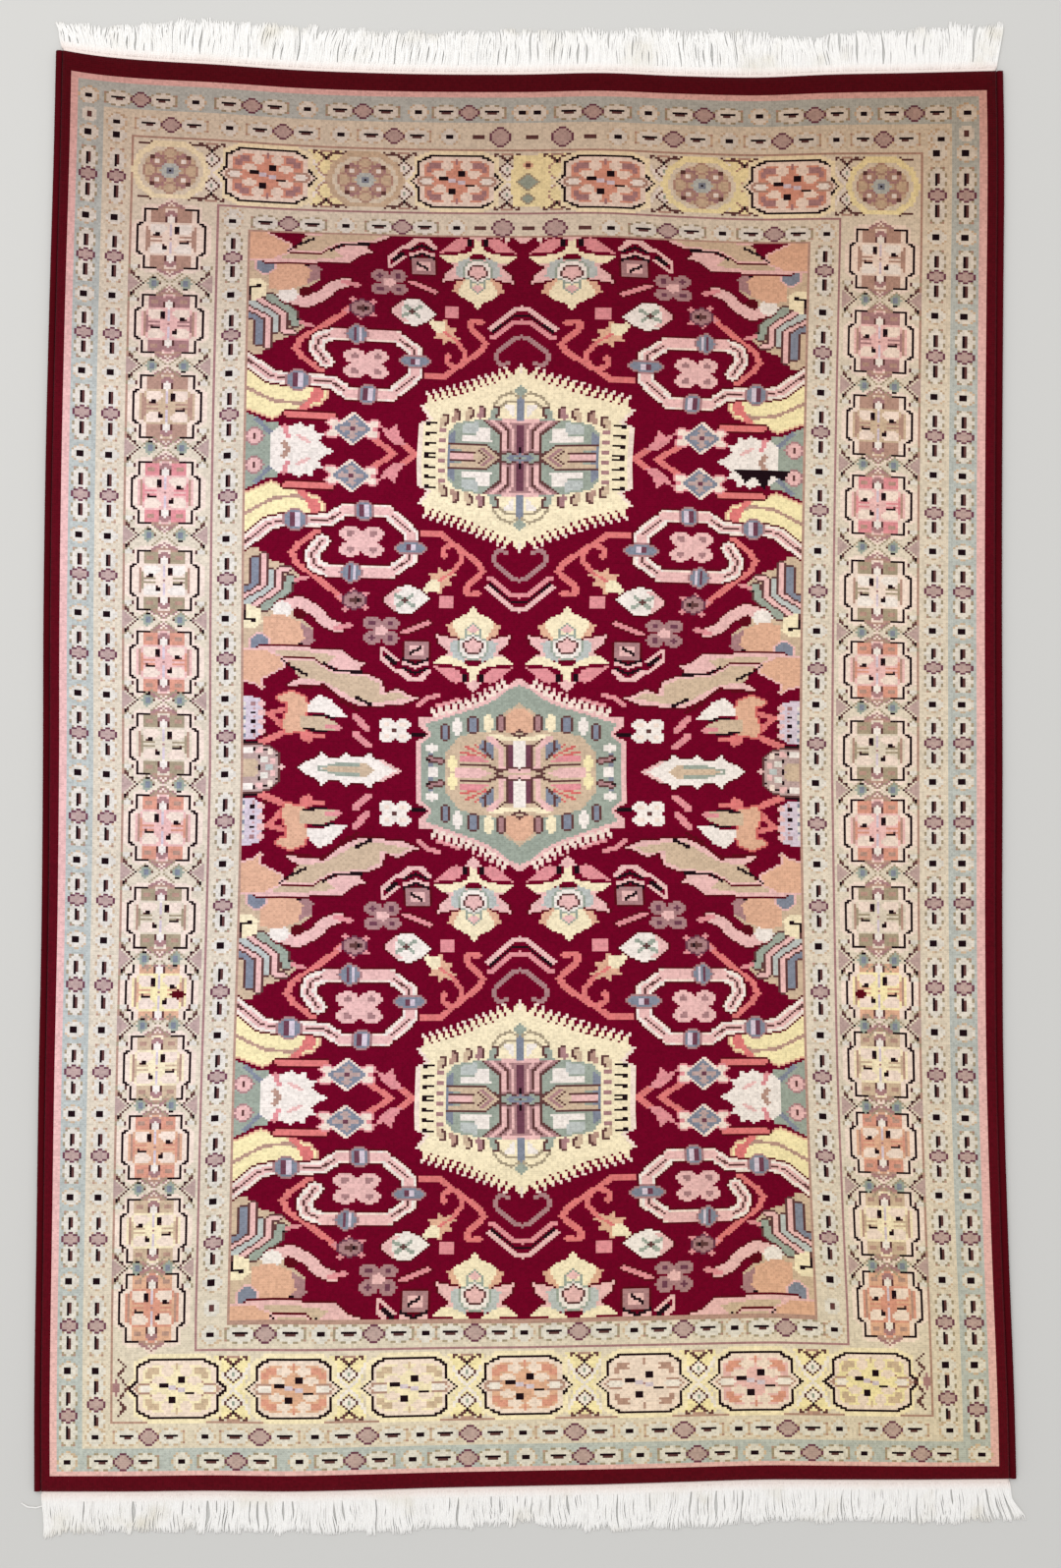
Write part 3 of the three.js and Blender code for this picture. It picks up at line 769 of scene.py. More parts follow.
for column, half_wide, panel, petal in ((57.5, 17.2, "sand", "cream"), (104, 14.8, "salmon", "peach"),
                                        (148, 14.8, "sand", "cream"), (192.5, 15, "salmon", "peach"),
                                        (238, 14.6, "tan", "shell"), (281, 14.4, "salmon", "blush"),
                                        (327.5, 17.2, "sand", "straw")):
    plan.place(end_cartouche(panel, petal, half_wide), (column, bottom_line))
corner_line = 33
for column, turn in ((corner_line, 1), (columns - 1 - corner_line, -1)):
    plan.stroke("umber", 1.1, [(column, 634), (column + turn * 3, 637), (column, 640.5),
                (column + turn * 4, 646.5), (column, 652), (column + turn * 3, 655.5), (column, 659)])
    plan.gem("mauve", (column - turn, 646.5), (2, 3.6))

# Guard stripes: sides first, then the two ends.
long_run = [39 + 40 * k for k in range(17)]
inner_left = [76.5, 118.5, 159, 199, 239.5, 280.5, 319.5, 358.5, 400.5, 441, 482.5, 522, 562, 601, 624]
inner_right = [77, 120, 160, 200, 241, 281, 320.5, 360.5, 400.5, 441, 482, 521, 561.5, 601, 624.5]
for line, dots in ((11.6, [20] + long_run), (23.6, [32.5] + long_run[:16] + [668])):
    guard_run(line, dots, upright=True)
    guard_run(columns - 1 - line, dots, upright=True)
guard_run(72.6, inner_left, upright=True)
guard_run(columns - 1 - 72.2, inner_right, upright=True)
for line, dots in ((20, [10.6, 55.5, 101.6, 147.6, 191.3, 196.9, 241, 285, 329.4, 373.2]),
                   (32.5, [23, 69.5, 115.5, 161]), (32.5, [229, 273, 315.5, 361.5]),
                   (78.5, [71.8, 118, 163.5]), (78.5, [226.5, 270.5, 312.2]),
                   (623.5, [71.8, 113.5, 153.5, 191.7, 233.5, 273, 312.4]),
                   (668, [22.8, 70, 111.5, 151.5, 190.8, 232, 273.5, 313, 361.2]),
                   (679.2, [10.8, 59.5, 105.5, 149, 191.7, 236.2, 279.5, 324, 374])):
    guard_run(line, dots, upright=False)
for line, pair, eyes in ((32.5, (182, 207), (173, 195, 218)), (78.5, (183.5, 204.5), (174, 194, 216))):
    for eye in eyes:
        plan.dot("ivory", (eye, line), (5, 3.4))
        plan.bar("umber", (eye, line), (2.6, 0.5))
    for middle in pair:
        plan.dot("ash", (middle, line), (3.7, 3.7), rim="plum")


# The body's outline, in millimetres. It is the outline that the overcast sides and the ends of the pile
# make, and it draws in towards the middle as the real rug does.
mm = 0.001
edge_width = 9
piece_gap = 0.3
sides = table("along left right", [
    (940, -612, 623), (800, -614, 624), (600, -618, 621), (400, -621, 618), (200, -622, 616),
    (0, -621, 615), (-200, -621, 613), (-400, -623, 613), (-600, -624, 617), (-800, -625, 623),
    (-920, -624, 625)
])
ends = table("across top bottom", [
    (-620, 938, -921), (-560, 928, -921), (-500, 922, -921), (-400, 916, -920), (-300, 909, -921),
    (-200, 905, -919), (-100, 903, -916), (0, 903, -914), (100, 905, -912), (200, 901, -909),
    (300, 899, -906), (400, 903, -906), (500, 905, -906), (620, 908, -905)
])

# Where the weaver's knots lie in that outline, as shares of the width and the length. The rows are
# beaten down harder in the upper half. Between a border and the middle of the field they rise by the
# knots given, most of all at rise_at, and halfway there the columns drift to the right.
columns_at = table("column top middle bottom", [
    (0, 0, 0, 0), (12, 0.0305, 0.0316, 0.0286), (47.5, 0.1203, 0.1207, 0.1142),
    (72.3, 0.1851, 0.185, 0.1743), (192.5, 0.495, 0.4965, 0.501), (312.7, 0.819, 0.812, 0.8236),
    (337.5, 0.8753, 0.8741, 0.8797), (373, 0.9662, 0.9643, 0.9674), (385, 1, 1, 1)
])
rows_at = table("row left middle right left_rise right_rise drift", [
    (0, 0, 0, 0, 0, 0, 0), (20, 0.0279, 0.0268, 0.0292, 0, 0, 0), (39, 0.0544, 0.055, 0.0596, 0, 0, 0),
    (79, 0.1144, 0.112, 0.1215, 0, 0, 1), (119, 0.1705, 0.1661, 0.1788, 4, 2.2, 3),
    (159, 0.2247, 0.2218, 0.238, 3.6, 1.8, 3.3), (199, 0.2833, 0.2794, 0.2938, 3.2, 1.2, 1.3),
    (239, 0.3404, 0.3363, 0.3479, 2.6, 1.2, 2.5), (279, 0.3945, 0.3936, 0.4046, 1.2, 0.8, 1),
    (319, 0.4505, 0.45, 0.456, 2, 1.2, 0.5), (359, 0.5053, 0.507, 0.5104, 3.2, 1.6, 0.5),
    (399, 0.5665, 0.565, 0.5684, 2.2, 1.2, 1), (439, 0.6212, 0.6203, 0.6249, 1.2, 0.2, 2.6),
    (479, 0.6842, 0.6804, 0.6884, 1.2, 0.4, 3.2), (519, 0.742, 0.739, 0.7486, 2.4, 2, 2),
    (559, 0.799, 0.7967, 0.8023, 3, 2.2, 3), (599, 0.8563, 0.854, 0.8618, 2.8, 2.6, 1.5),
    (639, 0.917, 0.917, 0.9198, 0, 0, 0), (679, 0.9784, 0.978, 0.9816, 0, 0, 0), (693, 1, 1, 1, 0, 0, 0)
])
upper_station, lower_station = 0.12, 0.88
rise_at = {"left": 97, "right": 290}
rise_end = {"left": 64, "right": 321}


def read(table, key, column, at):
    """Reads a column of a table at many places, with smooth turns between its rows."""
    keys = np.array([line[key] for line in table], float)
    values = np.array([line[column] for line in table], float)
    way = np.sign(keys[1] - keys[0])
    at = np.asarray(at, float)
    row = np.clip(np.searchsorted(keys * way, at * way) - 1, 0, len(keys) - 2)
    before, after = np.maximum(row - 1, 0), np.minimum(row + 2, len(keys) - 1)
    span = keys[row + 1] - keys[row]
    t = np.clip((at - keys[row]) / span, 0, 1)
    rise = values[row + 1] - values[row]
    slope_in = (values[row + 1] - values[before]) / (keys[row + 1] - keys[before]) * span
    slope_out = (values[after] - values[row]) / (keys[after] - keys[row]) * span
    return values[row] + t * (slope_in + t * (3 * rise - 2 * slope_in - slope_out
                                              + t * (slope_in + slope_out - 2 * rise)))


def body_point(u, v):
    """The place in millimetres of a share of the width and a share of the length, counted from the top."""
    left_along = ends[0]["top"] + (ends[0]["bottom"] - ends[0]["top"]) * v
    right_along = ends[-1]["top"] + (ends[-1]["bottom"] - ends[-1]["top"]) * v
    left = read(sides, "along", "left", left_along) + edge_width + piece_gap
    right = read(sides, "along", "right", right_along) - edge_width - piece_gap
    across = left + (right - left) * u
    top = read(ends, "across", "top", across)
    bottom = read(ends, "across", "bottom", across)
    return across, top + (bottom - top) * v


def knot_point(column, row):
    """The place in millimetres of a corner between knots."""
    def straight(table, key, name, at):
        return np.interp(at, [line[key] for line in table], [line[name] for line in table])

    for side in ("left", "right"):
        fall = np.clip((column - columns / 2) / (rise_at[side] - columns / 2), 0, 1)
        fall = np.minimum(fall, np.clip((column - rise_end[side]) / (rise_at[side] - rise_end[side]), 0, 1))
        row = row - fall * straight(rows_at, "row", side + "_rise", row)
    lean = np.sin((column - field["side"]) / (columns / 2 - field["side"]) * np.pi) ** 2
    lean = np.where((column > field["side"]) & (column < columns - field["side"]), lean, 0)
    column = column + lean * straight(rows_at, "row", "drift", row)
    over = column / columns
    v = (straight(rows_at, "row", "left", row) * (1 - over) * (1 - 2 * over)
         + straight(rows_at, "row", "middle", row) * 4 * over * (1 - over)
         + straight(rows_at, "row", "right", row) * over * (2 * over - 1))
    top, middle, bottom = (straight(columns_at, "column", name, column)
                           for name in ("top", "middle", "bottom"))
    to_middle = np.clip((v - upper_station) / (0.5 - upper_station), 0, 1)
    to_bottom = np.clip((v - 0.5) / (lower_station - 0.5), 0, 1)
    return body_point(top + (middle - top) * to_middle + (bottom - middle) * to_bottom, v)


# The body is one closed slab: the pile above, the woven back below and a rounded rim between. Each of its
# faces covers a block of four by four knots, and carries their sixteen wools as four packed numbers.
body_thickness = 9
pile_rounding = 3
pile_unevenness = 0.8
ripple_across = 310
ripple_along = 420
block = 4
pile_clipping = 0.25
pile_seed = 5

column_lines = np.array(sorted({1, *range(0, columns, block), columns}), float)
row_lines = np.array(sorted({1, *range(0, rows, block), rows}), float)
line_column, line_row = np.meshgrid(column_lines, row_lines)
across, along = knot_point(line_column, line_row)
ripple = np.sin(across / ripple_across * 2 * np.pi) * np.cos(along / ripple_along * 2 * np.pi)
pile_height = body_thickness - pile_unevenness * (0.5 + 0.5 * ripple)
pile_height -= pile_clipping * np.random.default_rng(pile_seed).random(across.shape)
pile_height[[0, -1], :] = body_thickness - pile_rounding
pile_height[:, [0, -1]] = body_thickness - pile_rounding


def solid(name, points, faces):
    """An object made of points in millimetres and the faces through them."""
    mesh = bpy.data.meshes.new(name)
    mesh.from_pydata((np.asarray(points) * mm).tolist(), [], [list(map(int, face)) for face in faces])
    mesh.shade_smooth()
    made = bpy.data.objects.new(name, mesh)
    bpy.context.scene.collection.objects.link(made)
    return made


def map_onto(made, name, places):
    """Adds a flat map that gives each corner of each face a place."""
    made.data.uv_layers.new(name=name).uv.foreach_set("vector", np.asarray(places, np.float32).ravel())


point_number = np.arange(across.size).reshape(across.shape)
under_first = across.size
pile_quads = np.stack([point_number[:-1, :-1], point_number[1:, :-1],
                       point_number[1:, 1:], point_number[:-1, 1:]], -1).reshape(-1, 4)
back_quads = pile_quads[:, ::-1] + under_first
rim = np.concatenate([point_number[0, :-1], point_number[:-1, -1],
                      point_number[-1, :0:-1], point_number[:0:-1, 0]])
next_rim = np.roll(rim, -1)
rim_quads = np.stack([rim, next_rim, next_rim + under_first, rim + under_first], -1)
level = np.zeros(across.size)
body_points = np.concatenate([
    np.stack([across.ravel(), along.ravel(), pile_height.ravel()], -1),
    np.stack([across.ravel(), along.ravel(), level], -1),
])
body_quads = np.concatenate([pile_quads, back_quads, rim_quads])
knotted_body = solid("knotted_body", body_points, body_quads)

# Each corner's place on the squared paper. A rim face shows the outermost knots down its height.
in_knot = 0.05
corner_column = np.tile(line_column.ravel(), 2)[body_quads]
corner_row = np.tile(line_row.ravel(), 2)[body_quads]
on_rim = np.zeros(body_quads.shape, bool)
on_rim[-len(rim_quads):] = True
inset = np.where(on_rim, np.where(body_quads >= under_first, 1 - in_knot, in_knot), 0)
squares = np.stack([np.clip(corner_column, inset, columns - inset),
                    np.clip(corner_row, inset, rows - inset)], -1)
map_onto(knotted_body, "squares", squares)

# The flat layout: the pile, the back at half its size beside it, and the rim in four strips above the back.
pile_left, pile_share, pile_tall = 0.002, 0.66, 0.994
back_left, back_share, back_tall = 0.67, 0.325, 0.5
layout_bottom = 0.003
strips_bottom, strip_step, strip_height = 0.53, 0.02, 0.014
layout = np.stack([corner_column / columns * pile_share + pile_left,
                   (1 - corner_row / rows) * pile_tall + layout_bottom], -1)
on_back = slice(len(pile_quads), len(pile_quads) + len(back_quads))
layout[on_back, :, 0] = back_left + corner_column[on_back] / columns * back_share
layout[on_back, :, 1] = layout_bottom + (1 - corner_row[on_back] / rows) * back_tall
rim_steps = np.arange(len(rim_quads))
across_count, along_count = len(column_lines) - 1, len(row_lines) - 1
strip_starts = np.cumsum([0, across_count, along_count, across_count, along_count])
strip = np.searchsorted(strip_starts, rim_steps, side="right") - 1
place = (rim_steps - strip_starts[strip]) / np.diff(strip_starts)[strip]
ahead = 1 / np.diff(strip_starts)[strip]
for corner, (forward, down) in enumerate(((0, 0), (1, 0), (1, 1), (0, 1))):
    layout[-len(rim_quads):, corner, 0] = back_left + (place + ahead * forward) * back_share
    layout[-len(rim_quads):, corner, 1] = strips_bottom + strip * strip_step + strip_height * (1 - down)
map_onto(knotted_body, "OFBake", layout)

# Four numbers a face hold its sixteen wools, four knots to a number.
blocks_down, blocks_across = -(-rows // block), -(-columns // block)
spare = ((0, blocks_down * block - rows), (0, blocks_across * block - columns))
padded = np.pad(plan.knots.astype(np.int64), spare, mode="edge")
padded = padded.reshape(blocks_down, block, blocks_across, block)
face_down = np.clip(squares[:, :, 1].mean(1) // block, 0, blocks_down - 1).astype(int)
face_across = np.clip(squares[:, :, 0].mean(1) // block, 0, blocks_across - 1).astype(int)
for half_down in (0, 1):
    for half_across in (0, 1):
        quad = padded[:, 2 * half_down:2 * half_down + 2, :, 2 * half_across:2 * half_across + 2]
        packed = sum(quad[:, down, :, right] * len(wools) ** (2 * down + right)
                     for down in (0, 1) for right in (0, 1))
        store = knotted_body.data.attributes.new(f"wools_{half_down}{half_across}", "FLOAT", "FACE")
        store.data.foreach_set("value", packed[face_down, face_across].astype(np.float32))


def operator(operation, reflected=False):
    """One of Python's signs between two values, written as a Math node."""
    def write(self, other):
        return self.sum(operation, *((other, self) if reflected else (self, other)))
    return write


class Wire:
    """A value in a finish. Sums written with it become Math nodes."""

    __add__ = __radd__ = operator("ADD")
    __sub__, __rsub__ = operator("SUBTRACT"), operator("SUBTRACT", reflected=True)
    __mul__ = __rmul__ = operator("MULTIPLY")
    __truediv__, __mod__, __gt__ = operator("DIVIDE"), operator("MODULO"), operator("GREATER_THAN")
    __rpow__ = operator("POWER", reflected=True)

    def __init__(self, finish, socket):
        self.finish, self.socket = finish, socket

    def sum(self, operation, *values):
        return self.finish.node("ShaderNodeMath", {"operation": operation}, dict(enumerate(values)))

    def floor(self):
        return self.sum("FLOOR", self)

    def sine(self):
        return self.sum("SINE", self)

    def between(self, low, high):
        """0 up to low and 1 from high on."""
        return self.finish.node("ShaderNodeMapRange", {"interpolation_type": "SMOOTHSTEP"},
                                {"Value": self, "From Min": low, "From Max": high})


class Finish:
    """A material. Its one way of making a node takes the settings first and then the sockets."""

    def __init__(self, name):
        self.material = bpy.data.materials.new(name)
        self.material.use_nodes = True
        self.tree = self.material.node_tree
        self.tree.nodes.clear()

    def node(self, kind, settings=None, sockets=None, out=0):
        made = self.tree.nodes.new(kind)
        for name, value in (settings or {}).items():
            if name == "stops":
                made.color_ramp.interpolation = "CONSTANT"
                for spare in made.color_ramp.elements[1:]:
                    made.color_ramp.elements.remove(spare)
                made.color_ramp.elements[0].color = value[0]
                for number, colour in enumerate(value[1:], 1):
                    made.color_ramp.elements.new(number / len(value)).color = colour
            else:
                setattr(made, name, value)
        for name, value in (sockets or {}).items():
            socket = made.inputs[name] if isinstance(name, int) else \
                next(each for each in made.inputs if name in (each.identifier, each.name))
            if isinstance(value, Wire):
                self.tree.links.new(value.socket, socket)
            else:
                socket.default_value = value
        if not made.outputs:
            return None
        chosen = made.outputs[out] if isinstance(out, int) else \
            next(each for each in made.outputs if out in (each.identifier, each.name))
        return Wire(self, chosen)

    def mix(self, share, first, second, blend="MIX"):
        return self.node("ShaderNodeMix", {"data_type": "RGBA", "blend_type": blend},
                         {"Factor_Float": share, "A_Color": first, "B_Color": second}, "Result_Color")

    def scaled(self, colour, share):
        return self.node("ShaderNodeVectorMath", {"operation": "SCALE"}, {"Vector": colour, "Scale": share},
                         "Vector")

    def noise(self, place, scale, detail=2, stretch=(1, 1, 1)):
        stretched = self.node("ShaderNodeMapping", {}, {"Vector": place, "Scale": stretch})
        return self.node("ShaderNodeTexNoise", {}, {"Vector": stretched, "Scale": scale, "Detail": detail},
                         "Fac")

    def bump(self, height, distance, strength):
        return self.node("ShaderNodeBump", {},
                         {"Height": height, "Distance": distance, "Strength": strength}, "Normal")

    def close(self, sockets):
        shader = self.node("ShaderNodeBsdfPrincipled", {}, sockets)
        self.node("ShaderNodeOutputMaterial", {}, {"Surface": shader})
        return self.material


def linear(colour):
    """The linear colour of an sRGB one."""
    shares = [value / 255 for value in colour]
    return (*(share / 12.92 if share <= 0.04045 else ((share + 0.055) / 1.055) ** 2.4 for share in shares), 1)


# The pile's finish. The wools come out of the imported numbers, and each knot differs a little from the next.
pile = Finish("knotted_wool")
square = pile.node("ShaderNodeUVMap", {"uv_map": "squares"})
column_at = pile.node("ShaderNodeSeparateXYZ", {}, {"Vector": square}, "X")
row_at = pile.node("ShaderNodeSeparateXYZ", {}, {"Vector": square}, "Y")
in_block_across, in_block_down = column_at % block, row_at % block
right_half, lower_half = in_block_across > 2, in_block_down > 2
packs = [[pile.node("ShaderNodeAttribute", {"attribute_name": f"wools_{down}{right}"}, {}, "Fac")
          for right in (0, 1)] for down in (0, 1)]
upper_pack = packs[0][0] + (packs[0][1] - packs[0][0]) * right_half
lower_pack = packs[1][0] + (packs[1][1] - packs[1][0]) * right_half
pack = upper_pack + (lower_pack - upper_pack) * lower_half
digit = (in_block_across.floor() % 2) + 2 * (in_block_down.floor() % 2)
wool_at = ((pack + 0.5) / (len(wools) ** digit)).floor() % len(wools)
dye = pile.node("ShaderNodeValToRGB", {"stops": [linear(colour) for colour in wools.values()]},
                {"Fac": (wool_at + 0.5) / len(wools)}, "Color")

brightness, steady_share, luck_share, abrash_share, wear_share, tuft_share = 0.9, 0.8, 0.28, 0.2, 0.1, 0.1
knot_at = pile.node("ShaderNodeCombineXYZ", {}, {"X": column_at.floor(), "Y": row_at.floor()})
knot_luck = pile.node("ShaderNodeTexWhiteNoise", {"noise_dimensions": "2D"}, {"Vector": knot_at}, "Value")
place_at = pile.node("ShaderNodeTexCoord", {}, {}, "Object")
abrash = pile.noise(place_at, 1, stretch=(0.7, 14, 1))
wear = pile.noise(place_at, 7, detail=3)
tufts = pile.noise(place_at, 420)
shade = brightness * (steady_share + luck_share * knot_luck + abrash_share * abrash + wear_share * wear)
across_at = pile.node("ShaderNodeSeparateXYZ", {}, {"Vector": place_at}, "X")
along_at = pile.node("ShaderNodeSeparateXYZ", {}, {"Vector": place_at}, "Y")

# Painted shade darkens and browns the wool towards the top end; it is also a little yellower to the right and
# the bottom.
dye_under_painted_light = dye
for toward, tint in ((along_at.between(0.3, 1), (203, 184, 170)),
                     (across_at.between(-0.5, 0.9), (246, 240, 226)),
                     ((-1 * along_at).between(0.3, 1), (252, 250, 234))):
    dye_under_painted_light = pile.mix(toward, dye_under_painted_light, linear(tint), "MULTIPLY")
coloured = pile.scaled(dye_under_painted_light, shade + tuft_share * (tufts - 0.5))

dome_share = 0.25
knot_dome = (column_at * (2 * math.pi)).sine() * dome_share + (row_at * (2 * math.pi)).sine() * dome_share
pile_relief = pile.bump(knot_dome + tufts, 0.0012, 0.5)
woven = pile.close({"Base Color": coloured, "Roughness": 0.95, "Normal": pile_relief, "Sheen Weight": 0.04,
                    "Sheen Roughness": 0.5, "Specular IOR Level": 0.04})
knotted_body.data.materials.append(woven)
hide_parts("rug_body")
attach(knotted_body, "root")


# The two side edges: wool yarn wound over the outermost warps, wrap beside wrap, and caught into the body.
# Each is a flattened cord that keeps to the body from end to end.
edge_thickness = 7
wrap_pitch = 3.2
rings_per_wrap = 4
edge_sides = 12
wrap_slant = 1.6
groove = 0.1
wrap_unevenness = 0.04
squareness = 0.7
edge_seed = 17


def tube(centres, sections):
    """The points and faces of a closed tube: one section of offsets for each centre."""
    rings, around = len(centres), sections.shape[1]
    points = (centres[:, None, :] + sections).reshape(-1, 3)
    ring, step = np.meshgrid(np.arange(rings - 1), np.arange(around), indexing="ij")
    here, beside = ring * around + step, ring * around + (step + 1) % around
    quads = np.stack([here, beside, beside + around, here + around], -1).reshape(-1, 4).tolist()
    return points, quads + [list(range(around))[::-1], list(range((rings - 1) * around, rings * around))]


def point_outward(made):
    """Turns a closed mesh's faces outward and deselects it."""
    bpy.ops.object.select_all(action="DESELECT")
    made.select_set(True)
    bpy.context.view_layer.objects.active = made
    bpy.ops.object.mode_set(mode="EDIT")
    bpy.ops.mesh.select_all(action="SELECT")
    bpy.ops.mesh.normals_make_consistent(inside=False)
    bpy.ops.object.mode_set(mode="OBJECT")
    made.select_set(False)


overcast = Finish("overcast_wool")
edge_place = overcast.node("ShaderNodeTexCoord", {}, {}, "Object")
edge_fibre = overcast.noise(edge_place, 500, stretch=(1, 0.4, 1))
edge_drift = overcast.noise(edge_place, 9)
edge_dye = overcast.mix(edge_drift, linear((74, 2, 12)), linear((98, 6, 20)))
edge_colour = overcast.scaled(edge_dye, 0.6 + 0.35 * edge_fibre)
edge_relief = overcast.bump(edge_fibre, 0.0008, 0.6)
overcast.close({"Base Color": edge_colour, "Roughness": 0.95, "Normal": edge_relief, "Sheen Weight": 0.04,
                "Sheen Roughness": 0.5, "Specular IOR Level": 0.05})


def overcast_edge(name, u, outward):
    wraps = int((ends[0]["top"] - ends[0]["bottom"]) / wrap_pitch)
    count = wraps * rings_per_wrap + 1
    shares = np.linspace(0, 1, count)
    inner, run = body_point(np.full(count, float(u)), shares)
    centre = inner + outward * (piece_gap + edge_width / 2)
    centres = np.stack([centre, run, np.full(count, edge_thickness / 2)], -1)
    luck = np.random.default_rng(edge_seed)
    turn = np.linspace(0, 2 * np.pi, edge_sides, endpoint=False) + np.pi / edge_sides
    out, up = (np.sign(part) * np.abs(part) ** squareness for part in (np.cos(turn), np.sin(turn)))
    swell = np.where(np.arange(count) % rings_per_wrap == 0, 1 - groove, 1)
    swell = swell * (1 - wrap_unevenness * luck.random(count))
    sections = np.zeros((count, edge_sides, 3))
    sections[:, :, 0] = out * edge_width / 2 * swell[:, None]
    sections[:, :, 2] = up * edge_thickness / 2 * swell[:, None]
    taper = np.minimum(1, 4 * np.minimum(shares, 1 - shares) * wraps)
    sections[:, :, 1] = out * wrap_slant * taper[:, None] / 2
    points, faces = tube(centres, sections)
    points[:, 2] = np.maximum(points[:, 2], 0)
    edge = solid(name, points, faces)
    point_outward(edge)
    edge.data.materials.append(overcast.material)
    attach(edge, "root")
    return edge


left_edge = overcast_edge("overcast_left", 0, -1)
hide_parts("overcast_edge_left")
right_edge = overcast_edge("overcast_right", 1, 1)
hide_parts("overcast_edge_right")


# The two ends: a narrow flat-woven band of the cotton warps, and then the warps themselves, left long and
# gathered by wear into small locks that lie on the floor. Each end is one piece, rooted in its band.
web_depth = 14
web_thickness = 2.6
web_ribs = 5
web_groove = 0.5
web_steps = 300
web_unevenness = 0.12
lock_count = 116
root_width = 10.8
waist_width = 9
tip_width = 11.5
lock_root_in_web = 9.5
lock_wave = 2
lock_wave_spacing = 95
lock_waves = 0.9
length_jitter = 2.2
side_jitter = 0.35
lock_wander = 2.2
lock_shortening = 0.09
waist_at = 0.45
yarns_per_lock = 16
yarn_sides = 5
yarn_rings = 10
yarn_thickness = 2
yarn_tip_thickness = 1.5
yarn_shortening = 0.13
yarn_spacing_jitter = 0.08
yarn_wander = 1.6
pile_up = 1.7
reach = table("across top bottom", [
    (-610, 42, 62), (-540, 46, 56), (-470, 58, 56), (-400, 63, 56), (-300, 63, 57), (-200, 61, 58),
    (-100, 61, 56), (0, 63, 54), (60, 61, 60), (140, 64, 62), (250, 65, 63), (300, 65, 58), (360, 56, 58),
    (430, 61, 56), (500, 62, 60), (560, 67, 58), (610, 66, 58)
])
lean = table("across top bottom", [
    (-610, -11, 3), (-540, -4, 0), (-420, 3, -2), (-304, 5, 0), (-298, 9, 0), (-200, 8, 2), (-60, 4, -2),
    (80, 0, 2), (180, -3, -3), (274, -8, -3), (282, -3, 2), (400, -6, 0), (480, 0, -2), (560, 4, 5),
    (610, 10, 15)
])
stray_route = [(-611, -940), (-622, -943), (-633, -942), (-641, -937)]

cotton = Finish("warp_cotton")
cotton_place = cotton.node("ShaderNodeTexCoord", {}, {}, "Object")
twist = cotton.noise(cotton_place, 900, stretch=(1, 0.35, 1))
soil = cotton.noise(cotton_place, 16, detail=3)
from_pile = cotton.node("ShaderNodeAttribute", {"attribute_name": "from_pile"}, {}, "Fac")
yarn_tint = cotton.mix(soil.between(0.5, 0.85), linear((255, 253, 250)), linear((236, 230, 216)))
yarn_tint = cotton.mix(from_pile.between(0.02, 0.3), linear((255, 240, 232)), yarn_tint)
cotton.close({"Base Color": cotton.scaled(yarn_tint, 0.84 + 0.2 * twist), "Roughness": 0.95,
              "Normal": cotton.bump(twist, 0.0006, 0.6), "Sheen Weight": 0.2, "Sheen Roughness": 0.5,
              "Specular IOR Level": 0.2})


def yarn(route, thickness):
    """A yarn through a route of points, thinning to its tip."""
    heading = np.gradient(route[:, :2], axis=0)
    heading /= np.linalg.norm(heading, axis=1)[:, None]
    side = np.stack([-heading[:, 1], heading[:, 0]], -1)
    turn = np.linspace(0, 2 * np.pi, yarn_sides, endpoint=False)
    sections = np.zeros((len(route), yarn_sides, 3))
    sections[:, :, :2] = side[:, None, :] * np.cos(turn)[None, :, None] * thickness[:, None, None] / 2
    sections[:, :, 2] = np.sin(turn)[None, :] * thickness[:, None] / 2
    return tube(route, sections)


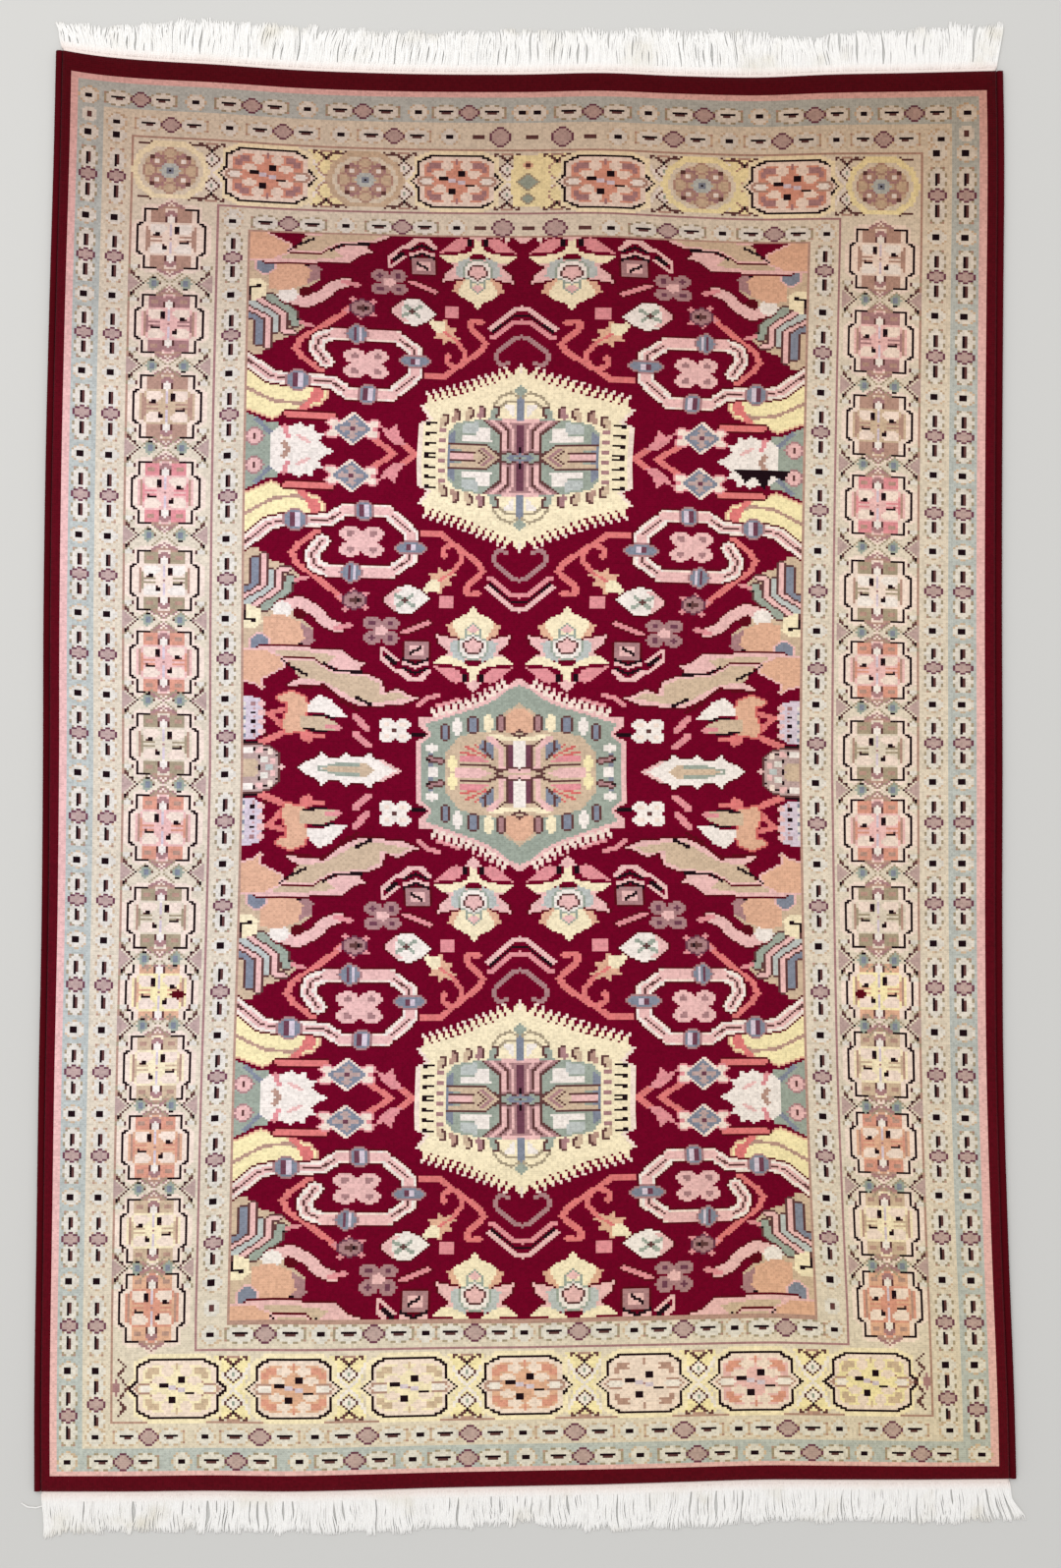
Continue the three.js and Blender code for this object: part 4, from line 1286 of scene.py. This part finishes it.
def fringe(name, v, end, outward, seed, cad_node):
    luck = np.random.default_rng(seed)
    points, faces = [], []

    def add(piece_points, piece_faces):
        first = sum(len(each) for each in points)
        points.append(piece_points)
        faces.extend([[corner + first for corner in face] for face in piece_faces])

    web_across, web_along = body_point(np.linspace(0, 1, web_steps), np.full(web_steps, float(v)))
    profile = [(piece_gap, 0)]
    for rib in range(web_ribs):
        near = piece_gap + (web_depth - piece_gap) * rib / web_ribs
        far = piece_gap + (web_depth - piece_gap) * (rib + 1) / web_ribs
        profile += [(near, web_thickness - web_groove), ((near + far) / 2, web_thickness)]
    profile += [(web_depth, web_thickness - web_groove), (web_depth, 0)]
    centres = np.stack([web_across, web_along, np.zeros(web_steps)], -1)
    sections = np.zeros((web_steps, len(profile), 3))
    for number, (out, height) in enumerate(profile):
        sections[:, number, 1] = outward * out
        sections[:, number, 2] = height * (1 - (web_unevenness * luck.random(web_steps) if height else 0))
    add(*tube(centres, sections))

    state = seed

    def uneven():
        nonlocal state
        state = (state * 1664525 + 1013904223) % 2 ** 32
        return state / 2 ** 31 - 1

    first_across, last_across = web_across[0], web_across[-1]
    pitch = (last_across - first_across) / lock_count
    t = np.linspace(0, 1, yarn_rings)
    for lock in range(lock_count):
        across_at = first_across + (lock + 0.5) * pitch + uneven() * side_jitter
        pile_end = read(ends, "across", end, across_at)
        tip = read(reach, "across", end, across_at) + uneven() * length_jitter
        tip_lean = read(lean, "across", end, across_at)
        wave = lock_wave * t * np.sin(2 * np.pi * (across_at / lock_wave_spacing + lock_waves * t))
        drift = lock_wander * luck.uniform(-1, 1) * t
        drift = drift * np.sin(np.pi * (luck.random() + luck.uniform(0.5, 1.2) * t))
        waist, fray = waist_width * luck.uniform(0.7, 1.3), tip_width * luck.uniform(0.8, 1.25)
        width = np.interp(t, [0, waist_at, 1], [root_width, waist, fray])
        shortened = luck.uniform(0, lock_shortening)
        for number in range(yarns_per_lock):
            share = (number + 0.5) / yarns_per_lock - 0.5
            share += luck.uniform(-yarn_spacing_jitter, yarn_spacing_jitter)
            length = tip * (1 - shortened - yarn_shortening * luck.random() ** 2)
            out = web_depth - lock_root_in_web + (length - web_depth + lock_root_in_web) * t
            wander = luck.uniform(-yarn_wander, yarn_wander) * t
            wander *= np.sin(2 * np.pi * (luck.random() + luck.uniform(0.4, 1.3) * t))
            thickness = yarn_thickness + (yarn_tip_thickness - yarn_thickness) * t
            up = thickness / 2 + pile_up * luck.random() * np.sin(np.pi * (0.1 + 0.8 * t))
            sideways = across_at + tip_lean * t + (wave + drift) + width * share + wander
            route = np.stack([sideways, pile_end + outward * out, up], -1)
            add(*yarn(route, thickness))
    if end == "bottom":
        stray = np.array([(*point, yarn_thickness / 2) for point in stray_route], float)
        add(*yarn(stray, np.full(len(stray), yarn_thickness)))

    points = np.concatenate(points)
    made = solid(name, points, faces)
    away = outward * (points[:, 1] - read(ends, "across", end, points[:, 0]))
    away /= np.mean([row[end] for row in reach])
    made.data.attributes.new("from_pile", "FLOAT", "POINT").data.foreach_set("value", away.astype(np.float32))
    point_outward(made)
    made.data.materials.append(cotton.material)
    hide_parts(cad_node)
    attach(made, "root")
    return made


top_fringe = fringe("warp_fringe_top", 0, "top", 1, 11, "fringe_top")
bottom_fringe = fringe("warp_fringe_bottom", 1, "bottom", -1, 29, "fringe_bottom")


# The studio: a plain pale floor under the rug and a soft light from above.
floor_side = 8
floor_grey = (206, 205, 202)
floor_drop = 0.0002
world_strength = 0.8
softbox_side = 2.6
softbox_energy = 45
softbox_at = (-0.9, 1.2, 3.2)

bpy.ops.object.select_all(action="DESELECT")
bpy.ops.mesh.primitive_plane_add(size=floor_side, location=(0, 0, -floor_drop))
floor = bpy.context.object
floor.name = "floor"
plain = Finish("plain_floor")
floor.data.materials.append(plain.close({"Base Color": linear(floor_grey), "Roughness": 0.9}))

world = bpy.data.worlds.new("studio")
world.use_nodes = True
background = world.node_tree.nodes["Background"]
background.inputs["Color"].default_value = (1, 1, 1, 1)
background.inputs["Strength"].default_value = world_strength
bpy.context.scene.world = world

softbox_data = bpy.data.lights.new("softbox", "AREA")
softbox_data.shape = "RECTANGLE"
softbox_data.size = softbox_data.size_y = softbox_side
softbox_data.energy = softbox_energy
softbox = bpy.data.objects.new("softbox", softbox_data)
softbox.location = softbox_at
softbox.rotation_euler = (Vector((0, 0, 0)) - softbox.location).to_track_quat("-Z", "Y").to_euler()
bpy.context.scene.collection.objects.link(softbox)
